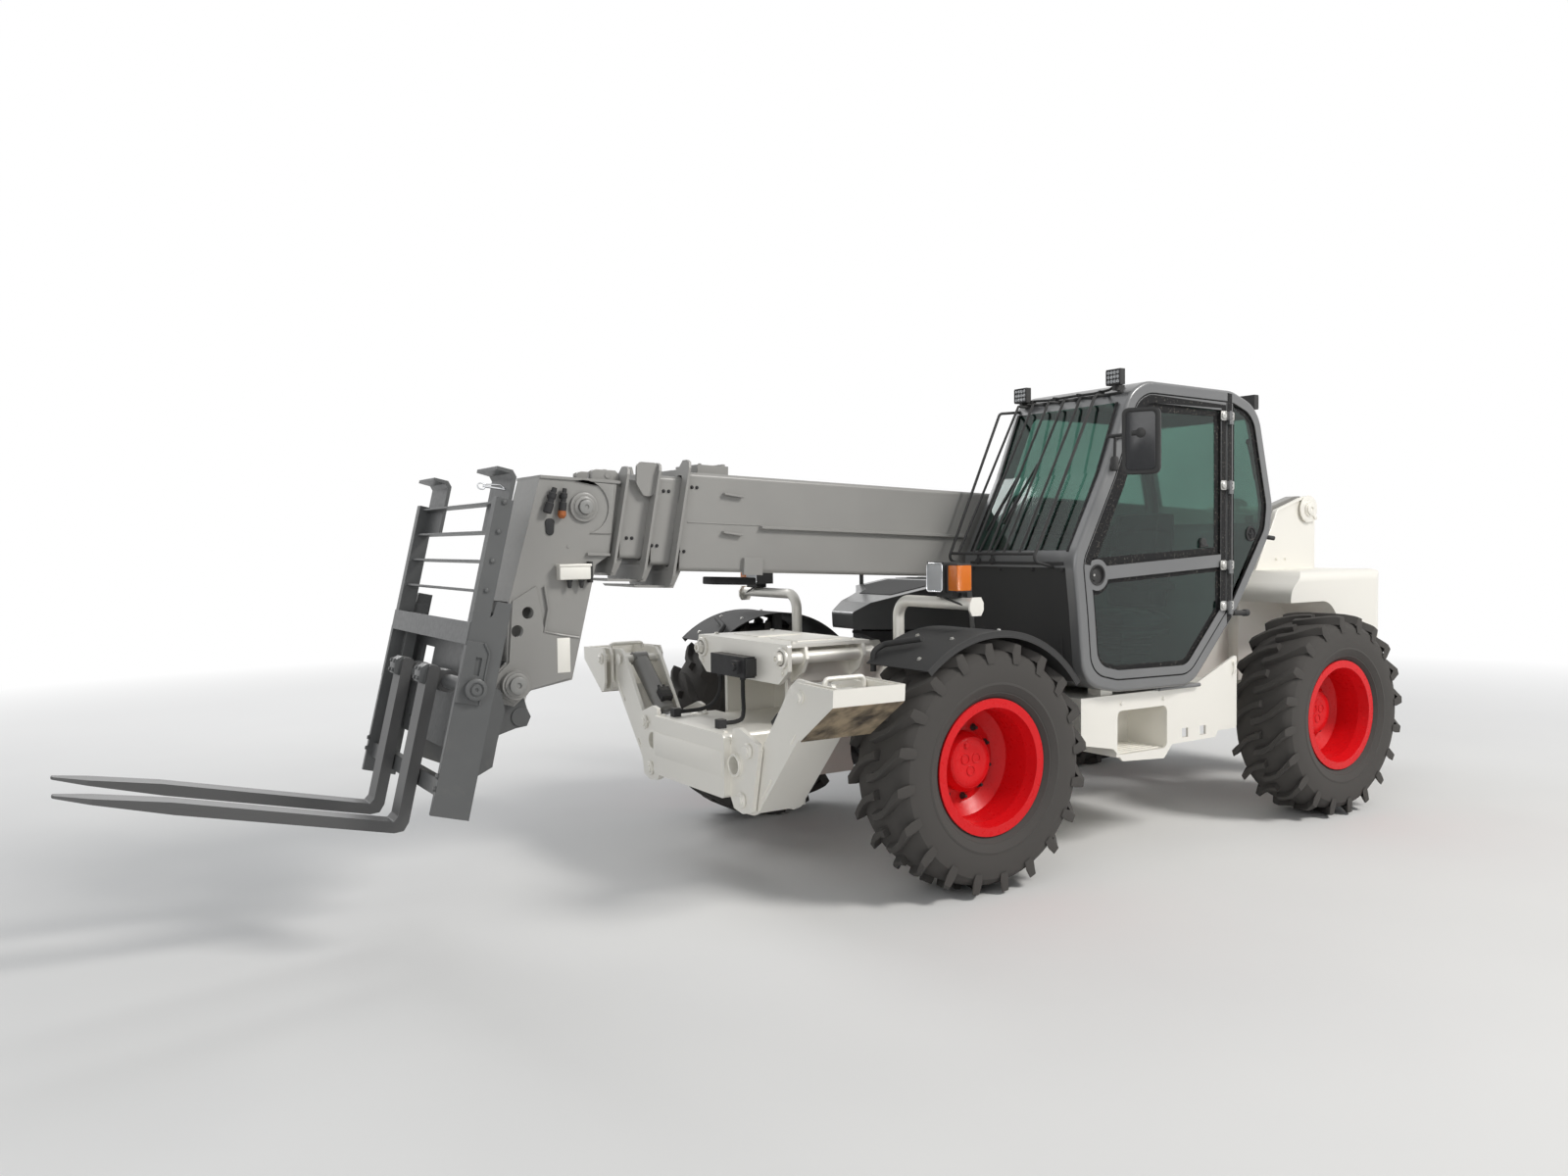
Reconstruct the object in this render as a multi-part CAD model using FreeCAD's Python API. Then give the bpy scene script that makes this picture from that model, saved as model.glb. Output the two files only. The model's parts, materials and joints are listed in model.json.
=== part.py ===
"""Telehandler with a four-stage boom, fork carriage and folding front stabilisers.

Sizes are in millimetres.  Within this file lengths along the machine (x) are
counted forward from the rear axle, y is to the machine's left and z is up from
the ground.  Every piece is moved back by MID_X as it is saved, so the finished
part stands with its middle over the origin.
"""
import FreeCAD, Part
import math
import os
from collections import namedtuple

V = FreeCAD.Vector
X_AXIS, Y_AXIS, Z_AXIS = V(1, 0, 0), V(0, 1, 0), V(0, 0, 1)
os.makedirs("parts", exist_ok=True)

# Overall
MID_X = 2790.0              # middle of the whole length, from the rear axle
WHEELBASE = 2850.0
BODY_REAR = -1120.0         # rear face of the rear body
CLEAR = 8.0                 # smallest gap left between pieces that move past each other
FIT = 0.05                  # radial clearance of a pin in its hole

# Wheels and axles
TYRE_R = 620.0
AXLE_Z = 620.0              # height of the axles that the other heights are drawn for
LUG_H = 34.0
TREAD_R = TYRE_R - LUG_H    # carcass under the lugs
TYRE_W = 400.0
TRACK_HALF = 1010.0         # middle of the tyre
RIM_R = 335.0               # outside of the rim flange
RIM_SEAT_R = 305.0
RIM_W = 330.0
DISC_Y = TRACK_HALF - 102.0  # inner face of the wheel disc
HUB_R = 150.0
TYRE_FLATS = 28             # facets round the carcass
LUGS = 20                   # in each of the two rows
LUG_ENDS = [                # distance from the middle, lead angle, foot, top, half width angle
    (-14.0, 0.0, TREAD_R - 16, TYRE_R, 2.2),
    (TYRE_W / 2 - 4, 12.0, TREAD_R - 86, TYRE_R - 14, 3.0)]
KINGPIN_Y = DISC_Y - 58.0
KNUCKLE_R = 118.0
CASE_R = 160.0              # axle housing round the final drive
CRADLE_IN, CRADLE_OUT = 120.0, 190.0    # the axle's seats on the frame, each side
DRIVE_R, SHAFT_HOLE_R = 40.0, 56.0
SPINDLE_R = 60.0
AXLE_TUBE_R = 92.0
KINGPIN_R = 26.0
ARM_LOW, ARM_HIGH = 128.0, 165.0        # knuckle arms, above and below the wheel's middle
ARM_END = 46.0              # from the kingpin's axis to the inner end of the knuckle's arms

# Frame and tower
BEAM_REAR = WHEELBASE + TYRE_R + 50.0   # stabiliser beam, in front of the tyres
BEAM_FRONT = BEAM_REAR + 380.0
FRAME_FRONT = BEAM_REAR - 40.0
FRONT_BAY = 305.0           # open bay in front of the frame's front cross plate
FRAME_HALF = 330.0          # outside of the frame's side plates
PLATE = 30.0
FRAME_TOP = 1120.0
FRAME_BELLY = 500.0
CAB_SEAT = 866.0            # top of the frame under the cab
TAIL_NICHE = (BODY_REAR - 1, BODY_REAR + 60, TRACK_HALF - 410, TRACK_HALF - 209, 1215.0, 1315.0)
PIVOT_X, PIVOT_Z = -900.0, 1910.0
PIVOT_R = 45.0
LUG_OUT = FRAME_HALF - PLATE - 25       # outer face of the boom's pivot lugs
LIFT_BASE_X, LIFT_BASE_Z = -350.0, 806.0
LIFT_PIN_R = 40.0

# Boom: s runs forward along the boom from its pivot, t is square to it
BOOM_TILT = 2.4             # degrees, as parked
Section = namedtuple("Section", "half top bottom wall rear front collar tray")
OUTER = Section(215.0, -40.0, -533.0, 10.0, 60.0, 4860.0, 34.0, 185.0)
SECOND = Section(184.0, -64.0, -505.0, 9.0, 260.0, 5003.0, 34.0, 178.0)
THIRD = Section(155.0, -88.0, -477.0, 8.0, 380.0, 5155.0, 34.0, 60.0)
INNER = Section(127.0, -112.0, -450.0, 8.0, 500.0, 5300.0, 0.0, 0.0)
COLLAR_T = 14.0
COLLAR_LIFT, COLLAR_DROP = 60.0, 84.0   # collar above and below its section
PAD_GAP = 0.5               # running gap of the wear pads between two sections
MOUTH_GAP = 8.0
COLLAR_SLANT = math.tan(math.radians(8.1))
EYE_S, EYE_T = 2476.4, -640.0

# Nose at the end of the innermost section
NOSE_HALF = 152.0
NOSE_PLATE = 22.0
TILT_X, TILT_Z = 4872.0, 1078.0         # carriage pivot
TILT_PIN_R = 35.0
NOSE_PIN_X, NOSE_PIN_Z = 4511.0, 1899.0
LEVER_X, LEVER_Z = 4817.0, 913.0

# Carriage: a is forward along the fork blades, b is up along the side plates
LEAN = 13.0
CARRIAGE_HALF = 610.0
FORK_Y = 215.0
FORK_W = 120.0
FORK_T = 50.0
FORK_TIP = 1717.0           # from the carriage pivot to the tip of the blade
SHAFT_A, SHAFT_B = 334.0, -26.0
SHAFT_R = 32.0
HITCH_Y = 202.0             # hitch plates, outside the nose
EAR_GAP = 12.0              # from the nose plates to the pivot ears between them
HITCH_T = 26.0
HITCH_PLATE = [(78, -40), (250, 60), (250, -420), (131, -444), (50, -380), (51, -266), (44, -120)]
PIVOT_EAR = [(-76, 50), (-50, 82), (40, 96), (250, 110), (250, -200), (60, -130), (-50, -82),
             (-76, -50)]
LEVER_A, LEVER_B = -90.7, -148.4
LEVER_PIN_R = 28.0
LEVER_SHAPE = [(-30, 52), (230, 52), (250, -120), (250, -325), (90, -300), (-80, -205),
               (-132, -186), (-142, -140), (-115, -104)]

# Front stabilisers, laid out in the y-z plane
BEAM_HALF = 395.0
EAR_TUBE_Y, EAR_TUBE_Z = 450.0, 634.0     # tube between the two ears
EAR_TUBE_R, EAR_TUBE_BORE = 58.0, 44.0
BEAM_LOW, BEAM_HIGH = 462.0, 800.0
ARM_Y, ARM_Z = 503.0, 470.0             # arm pivot
EAR_Y, EAR_Z = 569.0, 720.0             # eye of the stabiliser cylinder on the ear
PAD_Y, PAD_Z = 1086.0, 1037.0           # foot pivot
PAD_PIN_R = 26.0
RAM_Y, RAM_Z = 960.0, 1040.0            # eye of the stabiliser cylinder on the arm
EAR_FRONT, EAR_REAR, EAR_PLATE = BEAM_FRONT - 62.0, BEAM_REAR + 36.0, 24.0
STAB_X = (EAR_FRONT + EAR_REAR + EAR_PLATE) / 2     # middle of arm, foot and cylinder
BRACKET_X, BRACKET_T = FRAME_FRONT + 65.0, 24.0      # rear face and thickness of its plate
VALVE_DEEP, VALVE_LOW = 66.0, 1014.0
HOSE_R = 11.0
HOSES = [(90.0, 210.0), (-150.0, -290.0)]           # y at the valve box, y at the beam
HOSE_END_X = BEAM_FRONT - 110.0
EAR_SHAPE = [(389, 704), (424, 812), (478, 822), (650, 764), (666, 735), (592, 426),
             (508, 403), (422, 417), (389, 470)]

# Cylinders, each with a base eye at the barrel's end and an eye on the rod
Cylinder = namedtuple("Cylinder", "length barrel bore rod_r eye_r pin_r eye_w gap seat piston")
LIFT = Cylinder(1720.0, 88.0, 72.0, 46.0, 74.0, LIFT_PIN_R, 120.0, 30.0, 190.0, 46.0)
TILT = Cylinder(720.0, 60.0, 48.0, 30.0, 46.0, 30.0, 90.0, 14.0, 375.0, 40.0)
STAB = Cylinder(455.0, 52.0, 42.0, 26.0, 38.0, 24.0, 90.0, 10.0, 72.0, 26.0)

# Cab
CAB_LEFT, CAB_RIGHT = 1120.0, 262.0
CAB_WALL = 45.0
CAB_BEND = 220.0            # corner radius of the side outline
CAB_EDGE = 18.0             # rounding between the side and the front, roof and rear
CAB_REAR, CAB_FRONT = TYRE_R - 17.0, WHEELBASE - TYRE_R + 12.0
DRAWN_REAR, DRAWN_FRONT = 603.0, 2242.0     # the same two places as drawn


def span(x):
    """Place between the axles, stretched with the room that the wheels leave."""
    return CAB_REAR + (x - DRAWN_REAR) * (CAB_FRONT - CAB_REAR) / (DRAWN_FRONT - DRAWN_REAR)


def spanned(points):
    """Outline between the axles, stretched the same way."""
    return [(span(x), other) for x, other in points]


CAB_SIDE = spanned([(2175, 963), (1927, 906), (1318, 897), (927, 1304), (624, 1737), (603, 1903),
                    (739, 2463), (975, 2545), (1688, 2560), (1817, 2496), (1997, 2067),
                    (2242, 1614), (2208, 1333)])
GUARD_BARS, GUARD_PITCH = 5, 120.0
HINGE_X = span(1020.0)
HINGE_Y = 1138.0
HINGE_PIN_R = 6.0
DOOR_HINGES = (1330.0, 1560.0, 2010.0, 2400.0)
STEP_Y, STEP_IN, STEP_Z = 1050.0, 760.0, 552.0   # outer face, riser and tread of the step

# Lamps
LAMP_BAR_R = 30.0
LAMP_BAR_Z = AXLE_Z + TYRE_R + 168.0
WORK_LAMPS = [              # x, y, z of each lamp's middle, how far its stand reaches back
    (1840.0, CAB_RIGHT + 75, 2554.0, 80.0),
    (1805.0, CAB_LEFT - 115, 2582.0, 60.0),
    (708.0, CAB_LEFT - 90, 2500.0, -130.0)]

# Engine bay on the right
BAY_REAR = TYRE_R + 120.0   # clear of the rear tyre at full lock
BAY_SIDE = -TRACK_HALF - 90.0
BAY_TOP = 1150.0
HOOD_X, HOOD_Z = BAY_REAR - 36.0, 1140.0     # hood hinge
HOOD_HINGES = (-900.0, -540.0)
HOOD_PIN_R = 8.0


def box(x0, x1, y0, y1, z0, z1):
    """Block between two corners."""
    return Part.makeBox(x1 - x0, y1 - y0, z1 - z0, V(x0, y0, z0))


def outline(points, radius=0.0):
    """Closed flat wire through 3-D points, its corners rounded to the radius."""
    if radius <= 0:
        return Part.makePolygon(points + points[:1])
    edges, first, last = [], None, None
    count = len(points)
    for i in range(count):
        before, here, after = points[i - 1], points[i], points[(i + 1) % count]
        u, w = (before - here), (after - here)
        bend = math.pi - u.getAngle(w)
        reach = radius * math.tan(bend / 2)
        reach = min(reach, 0.48 * u.Length, 0.48 * w.Length)
        u.normalize()
        w.normalize()
        start, end = here + u * reach, here + w * reach
        true_r = reach / math.tan(bend / 2)
        middle = (u + w)
        middle.normalize()
        crown = here + middle * (true_r / math.cos(bend / 2) - true_r)
        if last is not None:
            edges.append(Part.makeLine(last, start))
        else:
            first = start
        edges.append(Part.Arc(start, crown, end).toShape())
        last = end
    edges.append(Part.makeLine(last, first))
    return Part.Wire(edges)


def prism_y(points, y0, y1, radius=0.0):
    """Extrude an x-z outline along y."""
    wire = outline([V(x, y0, z) for x, z in points], radius)
    return Part.Face(wire).extrude(V(0, y1 - y0, 0))


def prism_x(points, x0, x1, radius=0.0):
    """Extrude a y-z outline along x."""
    wire = outline([V(x0, y, z) for y, z in points], radius)
    return Part.Face(wire).extrude(V(x1 - x0, 0, 0))


def prism_z(points, z0, z1, radius=0.0):
    """Extrude an x-y outline along z."""
    wire = outline([V(x, y, z0) for x, y in points], radius)
    return Part.Face(wire).extrude(V(0, 0, z1 - z0))


def rod(start, end, radius):
    """Round bar between two points."""
    run = end - start
    return Part.makeCylinder(radius, run.Length, start, run)


def bar_y(x, z, radius, y0, y1):
    """Round bar along y."""
    return Part.makeCylinder(radius, y1 - y0, V(x, y0, z), Y_AXIS)


def bar_x(y, z, radius, x0, x1):
    """Round bar along x."""
    return Part.makeCylinder(radius, x1 - x0, V(x0, y, z), X_AXIS)


def bar_z(x, y, radius, z0, z1):
    """Round bar along z."""
    return Part.makeCylinder(radius, z1 - z0, V(x, y, z0), Z_AXIS)


def spin_y(points, x, z, y=0.0):
    """Turn a (radius, y) outline about the line along y through x, z."""
    wire = Part.makePolygon([V(x + r, y + h, z) for r, h in points + points[:1]])
    return Part.Face(wire).revolve(V(x, 0, z), Y_AXIS, 360)


def tube_path(points, radius, bend=None):
    """Bent round bar through the points; without a bend radius the corners are as wide as fits."""
    parts = []
    start = points[0]
    for i in range(1, len(points) - 1):
        here = points[i]
        u, w = points[i - 1] - here, points[i + 1] - here
        turn = math.pi - u.getAngle(w)
        arc = bend or 0.45 * min(u.Length, w.Length) / math.tan(turn / 2)
        reach = arc * math.tan(turn / 2)
        u.normalize()
        w.normalize()
        middle = u + w
        middle.normalize()
        centre = here + middle * (arc / math.cos(turn / 2))
        end = here + u * reach
        parts.append(rod(start, end, radius))
        ring = Part.Face(Part.Wire(Part.makeCircle(radius, end, u)))
        parts.append(ring.revolve(centre, w.cross(u), math.degrees(turn)))
        start = here + w * reach
        if bend is None:
            print("hose bend radius %.0f" % arc)
    parts.append(rod(start, points[-1], radius))
    return parts[0].fuse(parts[1:])


def mirror_y(shape):
    """The same piece on the other side of the machine."""
    return shape.mirror(V(0, 0, 0), Y_AXIS)


def both(shape):
    """The piece and its mirror image."""
    return shape.fuse(mirror_y(shape))


def fuse(*shapes):
    """One solid from overlapping pieces."""
    joined = shapes[0].fuse(list(shapes[1:]))
    return joined.removeSplitter()


def cut(shape, *tools):
    """The shape with the tools taken away."""
    return shape.cut(list(tools))


def save(name, shape):
    """Move a piece into the part's own frame, up with its tyres, and write it."""
    shape = shape.copy()
    shape.translate(V(-MID_X, 0, TYRE_R - AXLE_Z))
    shape.exportStep("parts/%s.step" % name)


def cab_solid():
    """The whole cab as one solid, its side outline and long edges rounded."""
    solid = prism_y(CAB_SIDE, CAB_RIGHT, CAB_LEFT, CAB_BEND)
    rims = [edge for edge in solid.Edges
            if abs(edge.BoundBox.YMax - edge.BoundBox.YMin) < 1]
    return solid.makeFillet(CAB_EDGE, rims)


CAB_SOLID = cab_solid()
CAB_FEET = (span(1360.0), span(1860.0))


# Wheels

def tyre(side):
    """Carcass of flat facets with two rows of slanting lugs, half a pitch apart."""
    half = TYRE_W / 2
    bead = RIM_W / 2 - 16
    spread = 1 / math.cos(math.pi / TYRE_FLATS)
    seat, flange = RIM_SEAT_R * spread, (RIM_R + 2) * spread
    profile = [(seat, -bead), (flange, -bead - 3), (TREAD_R - 70, -half), (TREAD_R, -half + 70),
               (TREAD_R, half - 70), (TREAD_R - 70, half), (flange, bead + 3), (seat, bead)]
    rings = []
    for i in range(TYRE_FLATS):
        a = 2 * math.pi * i / TYRE_FLATS
        rings.append([V(r * math.cos(a), y, r * math.sin(a)) for r, y in profile])
    faces = []
    for i in range(TYRE_FLATS):
        near, far = rings[i - 1], rings[i]
        for j in range(len(profile)):
            faces.append(flat([near[j - 1], near[j], far[j], far[j - 1]]))
    lugs = []
    for row, phase in ((1, 0.0), (-1, 0.5)):
        for i in range(LUGS):
            base = (i + phase) * 360.0 / LUGS
            ends = []
            for y, lead, low, high, wide in LUG_ENDS:
                corners = [(low, -wide), (high, -wide + 0.6), (high, wide - 0.6), (low, wide)]
                turned = [(r, math.radians(base + lead + a)) for r, a in corners]
                ends.append([V(r * math.cos(a), row * y, r * math.sin(a)) for r, a in turned])
            lugs.append(lug_block(*ends))
    shape = solid_of(faces).fuse(lugs)
    return shape if side > 0 else mirror_y(shape)


def flat(points):
    """Flat face through the points."""
    return Part.Face(Part.makePolygon(points + points[:1]))


def solid_of(faces):
    """Solid inside closed faces, turned the right way out."""
    solid = Part.makeSolid(Part.makeShell(faces))
    if solid.Volume < 0:
        solid.reverse()
    return solid


def lug_block(near, far):
    """Eight-cornered block between two four-cornered ends."""
    faces = [flat(near), flat(far)]
    for i in range(4):
        j = (i + 1) % 4
        faces.append(flat([near[i], near[j], far[j]]))
        faces.append(flat([near[i], far[j], far[i]]))
    return solid_of(faces)


def rim():
    """Deep-dish rim with its disc near the inner edge and the hub cover through it."""
    half = RIM_W / 2
    disc = DISC_Y - TRACK_HALF
    seat = RIM_SEAT_R - 0.4
    well = seat - 30
    profile = [(RIM_R, -half), (RIM_R, -half + 12), (seat, -half + 15), (seat, half - 15),
               (RIM_R, half - 12), (RIM_R, half), (seat - 14, half), (well, half - 60),
               (well, disc + 62), (HUB_R + 60, disc + 20), (HUB_R, disc + 20), (HUB_R, disc + 74),
               (HUB_R - 24, disc + 104), (0, disc + 104), (0, disc + 58),
               (SPINDLE_R + FIT, disc + 58), (SPINDLE_R + FIT, disc), (HUB_R + 66, disc),
               (well, disc + 44), (seat - 14, -half + 20)]
    return spin_y(profile, 0, 0)


def knuckle():
    """Steering knuckle: plate with a spindle and two arms that hold the kingpin."""
    back, face = DISC_Y - 24, DISC_Y - 6
    plate = bar_y(0, 0, KNUCKLE_R, back, face)
    web = box(-70, 70, back, face, -ARM_HIGH, ARM_HIGH)
    spindle = bar_y(0, 0, SPINDLE_R, back, DISC_Y + 52)
    arms = []
    for low, high in ((ARM_LOW, ARM_HIGH), (-ARM_HIGH, -ARM_LOW)):
        arm = prism_z([(-70, face), (70, face), (46, KINGPIN_Y - ARM_END),
                       (-46, KINGPIN_Y - ARM_END)], low, high)
        arms.append(cut(arm, bar_z(0, KINGPIN_Y, KINGPIN_R + FIT, low - 1, high + 1)))
    lever = prism_z([(40, KINGPIN_Y), (190, KINGPIN_Y - 90), (214, KINGPIN_Y - 50),
                     (60, KINGPIN_Y + 40)], -ARM_HIGH, -ARM_HIGH + 25)
    return fuse(plate, web, spindle, lever, *arms)


def fender(front_deg, rear_deg):
    """Wheel cover on the knuckle: rolled plate with a lip and a bracket."""
    inner_y, outer_y = TRACK_HALF - 265, TRACK_HALF + 212
    r0, r1 = TYRE_R + 38, TYRE_R + 44
    start, end = math.radians(front_deg), math.radians(rear_deg)

    def ring(ra, rb, y0, y1):
        mid = (start + end) / 2
        low = [V(ra * math.cos(a), y0, ra * math.sin(a)) for a in (start, mid, end)]
        high = [V(rb * math.cos(a), y0, rb * math.sin(a)) for a in (end, mid, start)]
        wire = Part.Wire([Part.Arc(*low).toShape(), Part.makeLine(low[2], high[0]),
                          Part.Arc(*high).toShape(), Part.makeLine(high[2], low[0])])
        return Part.Face(wire).extrude(V(0, y1 - y0, 0))

    shell = ring(r0, r1, inner_y, outer_y)
    lip = ring(r0 - 26, r1, outer_y - 6, outer_y)
    foot = KINGPIN_Y - 80
    stay = box(-30, 30, foot, foot + 16, ARM_LOW + 1, r0 + 3)
    sole = box(-30, 30, foot, KINGPIN_Y - ARM_END, ARM_LOW + 1, ARM_HIGH - 1)
    return fuse(shell, lip, stay, sole)


def axle(x, inward):
    """Steering axle: housing, tubes and the yokes that carry the kingpins."""
    z = AXLE_Z
    tube = bar_y(x, z, AXLE_TUBE_R, -KINGPIN_Y + 92, KINGPIN_Y - 92)
    case = spin_y([(0, -140), (110, -140), (CASE_R, -40), (CASE_R, 40), (110, 140), (0, 140)], x, z)
    near, far = sorted((x, x + inward * 260))
    nose = box(near, far, -80, 80, z - 80, z + 80)
    high = ARM_LOW - 10
    yoke = [(-50, -110), (50, -110), (50, -3), (17, 22), (-17, 22), (-50, -3)]
    ends = []
    for side in (1, -1):
        plan = [(x + dx, side * (KINGPIN_Y + dy)) for dx, dy in yoke]
        ends.append(prism_z(plan, z - high, z + high))
        ends.append(bar_z(x, side * KINGPIN_Y, KINGPIN_R, z - ARM_HIGH - 10, z + ARM_HIGH + 10))
        y0, y1 = sorted((side * CRADLE_IN, side * CRADLE_OUT))
        ends.append(box(x - 85, x + 85, y0, y1, z + 20, FRAME_BELLY + 330))
    return fuse(tube, case, nose, *ends)


# Frame

TOWER = [(-1000, 560), (-1000, 1850), (-988, 1910), (-960, 1955), (-915, 1984), (-850, 1990),
         (-560, 1900), (-330, 1500), (-40, FRAME_TOP), (span(720), FRAME_TOP),
         (span(960), CAB_SEAT), (span(2260), CAB_SEAT), (span(2420), FRAME_TOP),
         (FRAME_FRONT - 260, FRAME_TOP),
         (FRAME_FRONT, FRAME_TOP - 60), (FRAME_FRONT, 640), (FRAME_FRONT - 160, FRAME_BELLY),
         (-860, FRAME_BELLY)]


def chassis_frame():
    """Two long side plates with the boom tower, joined by plates across."""
    side = prism_y(TOWER, FRAME_HALF - PLATE, FRAME_HALF)
    side = cut(side, *[bar_y(x, AXLE_Z, 240, 0, 400) for x in (0, WHEELBASE)])
    boss = bar_y(PIVOT_X, PIVOT_Z, 82, FRAME_HALF - PLATE - 6, FRAME_HALF + 24)
    side = fuse(side, boss)
    side = cut(side, bar_y(PIVOT_X, PIVOT_Z, PIVOT_R, 0, 400))
    pin = bar_y(PIVOT_X, PIVOT_Z, PIVOT_R, -FRAME_HALF - 36, FRAME_HALF + 36)
    inner = FRAME_HALF - PLATE + 1
    belly = box(300, WHEELBASE - 320, -inner, inner, FRAME_BELLY, FRAME_BELLY + 16)
    rear = box(-1000, -975, -inner, inner, 640, 1300)
    front = box(FRAME_FRONT - FRONT_BAY - 25, FRAME_FRONT - FRONT_BAY, -inner, inner, 660,
                FRAME_TOP - 70)
    cross = [box(x, x + 24, -inner, inner, FRAME_BELLY + 10, FRAME_BELLY + 330)
             for x in (330.0, span(1500.0), WHEELBASE - 350)]
    saddles = [box(x - 130, x + 130, *sorted((s * CRADLE_IN, s * inner)), FRAME_BELLY + 330,
                   FRAME_BELLY + 360) for x in (0.0, WHEELBASE) for s in (1, -1)]
    pads = [box(x, x + 90, FRAME_HALF - PLATE, FRAME_HALF, CAB_SEAT - 2, CAB_SEAT + 94)
            .cut(CAB_SOLID) for x in CAB_FEET]
    lugs = [prism_y([(LIFT_BASE_X - 150, 700), (LIFT_BASE_X - 80, LIFT_BASE_Z + 40),
                     (LIFT_BASE_X - 40, LIFT_BASE_Z + 78), (LIFT_BASE_X + 40, LIFT_BASE_Z + 78),
                     (LIFT_BASE_X + 78, LIFT_BASE_Z + 30), (LIFT_BASE_X + 70, 700)], y, y + 30)
            for y in (-96.0, 66.0)]
    floor = box(LIFT_BASE_X - 200, LIFT_BASE_X + 80, -inner, inner, 680, 706)
    lift_pin = bar_y(LIFT_BASE_X, LIFT_BASE_Z, LIFT_PIN_R, -125, 125)
    body = fuse(side, mirror_y(side), pin, belly, rear, front, *cross, *saddles, *lugs,
                floor, lift_pin, *pads)
    return cut(body, bar_x(0, AXLE_Z, SHAFT_HOLE_R, 300, WHEELBASE - 300))


def rear_body():
    """Rounded rear body with the wheel arches that the steered wheels need."""
    half = TRACK_HALF - 210
    peak = AXLE_Z + TYRE_R + 50
    low, top, front = AXLE_Z + 140, peak + 200, -40
    under = low - 200
    plan = [(BODY_REAR, -half), (BODY_REAR, half), (front + 200, half), (front + 200, -half)]
    side = [(BODY_REAR, under), (BODY_REAR, top), (-190, top), (front, top - 120), (front, under)]
    back = [(-half, under), (half, under), (half, top), (-half, top)]
    block = prism_z(plan, low, top, 150).common(prism_y(side, -half - 1, half + 1, 130))
    block = block.common(prism_x(back, BODY_REAR - 1, front + 1, 70))
    wide, knee = TYRE_R + 130, AXLE_Z + 330
    arch = [(-wide, under), (-wide, knee), (300 - wide, peak), (wide - 300, peak), (wide, knee),
            (wide, under)]
    wheel_y = TRACK_HALF - 385
    arches = [prism_y(arch, s * wheel_y - 215, s * wheel_y + 215, 160) for s in (1, -1)]
    boom_slot = box(-1000, 0, -FRAME_HALF, FRAME_HALF, under, top + 10)
    boom_gap = box(BODY_REAR - 1, -990, -FRAME_HALF - 40, FRAME_HALF + 40, 1300, top + 10)
    x0, x1, y0, y1, z0, z1 = TAIL_NICHE
    niches = [box(x0, x1, *sorted((s * y0, s * y1)), z0, z1) for s in (1, -1)]
    return cut(block, boom_slot, boom_gap, *arches, *niches)


def side_step():
    """Left frame box under the cab with its recessed step, wedge plate and square holes."""
    y1, t = STEP_Y, 14.0
    panel = prism_y(spanned([(2118, 880), (2118, 632), (1870, 588), (1800, 515), (1470, 496),
                             (1400, 568), (1027, 571), (1010, 606), (840, 607), (840, 1036),
                             (1230, 880)]), y1 - t, y1, 16)
    pocket = spanned([(1842, 790), (1842, STEP_Z), (1445, STEP_Z), (1445, 790)])
    opening = prism_y(pocket, y1 - 30, y1 + 10, 34)
    holes = [box(x - 26, x + 26, y1 - 30, y1 + 10, 596, 648) for x in (span(1294), span(1141))]
    panel = cut(panel, opening, *holes)
    top = box(span(854), span(2118), FRAME_HALF, y1, CAB_SEAT, CAB_SEAT + t)
    tread = box(span(1437), span(1850), STEP_IN, y1, STEP_Z - 12, STEP_Z)
    riser = box(span(1437), span(1850), STEP_IN, STEP_IN + 12, STEP_Z - 12, 872)
    walls = [box(x, x + 8, STEP_IN, y1, STEP_Z - 12, 872) for x in (span(1437), span(1842))]
    ends = [prism_x([(FRAME_HALF, 866), (y1 - 2, 866), (y1 - 2, 650), (760, 600),
                     (FRAME_HALF, 560)], x, x + 12) for x in (span(856), span(2102))]
    pads = [box(x, x + 90, y1 - 110, y1 - 20, CAB_SEAT + 12, CAB_SEAT + 94).cut(CAB_SOLID)
            for x in CAB_FEET]
    return fuse(panel, top, tread, riser, *walls, *ends, *pads)


def outrigger_beam():
    """Box beam across the front with the ears for both stabiliser arms."""
    body = prism_x([(-BEAM_HALF, BEAM_HIGH - 20), (BEAM_HALF, BEAM_HIGH - 20),
                    (BEAM_HALF, BEAM_LOW), (-BEAM_HALF, BEAM_LOW)], BEAM_REAR, BEAM_FRONT, 26)
    link = box(FRAME_FRONT - FRONT_BAY, BEAM_REAR + 10, -260, 260, 680, 780)
    ears, pins, tubes, bores = [], [], [], []
    for x0 in (EAR_FRONT, EAR_REAR):
        ear = prism_x(EAR_SHAPE, x0, x0 + EAR_PLATE)
        ears += [ear, mirror_y(ear)]
    for s in (1, -1):
        pins.append(bar_x(s * ARM_Y, ARM_Z, STAB.pin_r, EAR_REAR - 8, EAR_FRONT + EAR_PLATE + 10))
        pins.append(bar_x(s * EAR_Y, EAR_Z, STAB.pin_r, EAR_REAR - 8, EAR_REAR + EAR_PLATE + 6))
        pins.append(bar_x(s * EAR_Y, EAR_Z, STAB.pin_r, EAR_FRONT - 6, EAR_FRONT + EAR_PLATE + 10))
        tubes.append(bar_x(s * EAR_TUBE_Y, EAR_TUBE_Z, EAR_TUBE_R, EAR_REAR + EAR_PLATE,
                           EAR_FRONT + EAR_PLATE + 14))
        bores.append(bar_x(s * EAR_TUBE_Y, EAR_TUBE_Z, EAR_TUBE_BORE, EAR_FRONT - 90,
                           EAR_FRONT + EAR_PLATE + 15))
    return cut(fuse(body, link, *ears, *pins, *tubes), *bores)


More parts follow.
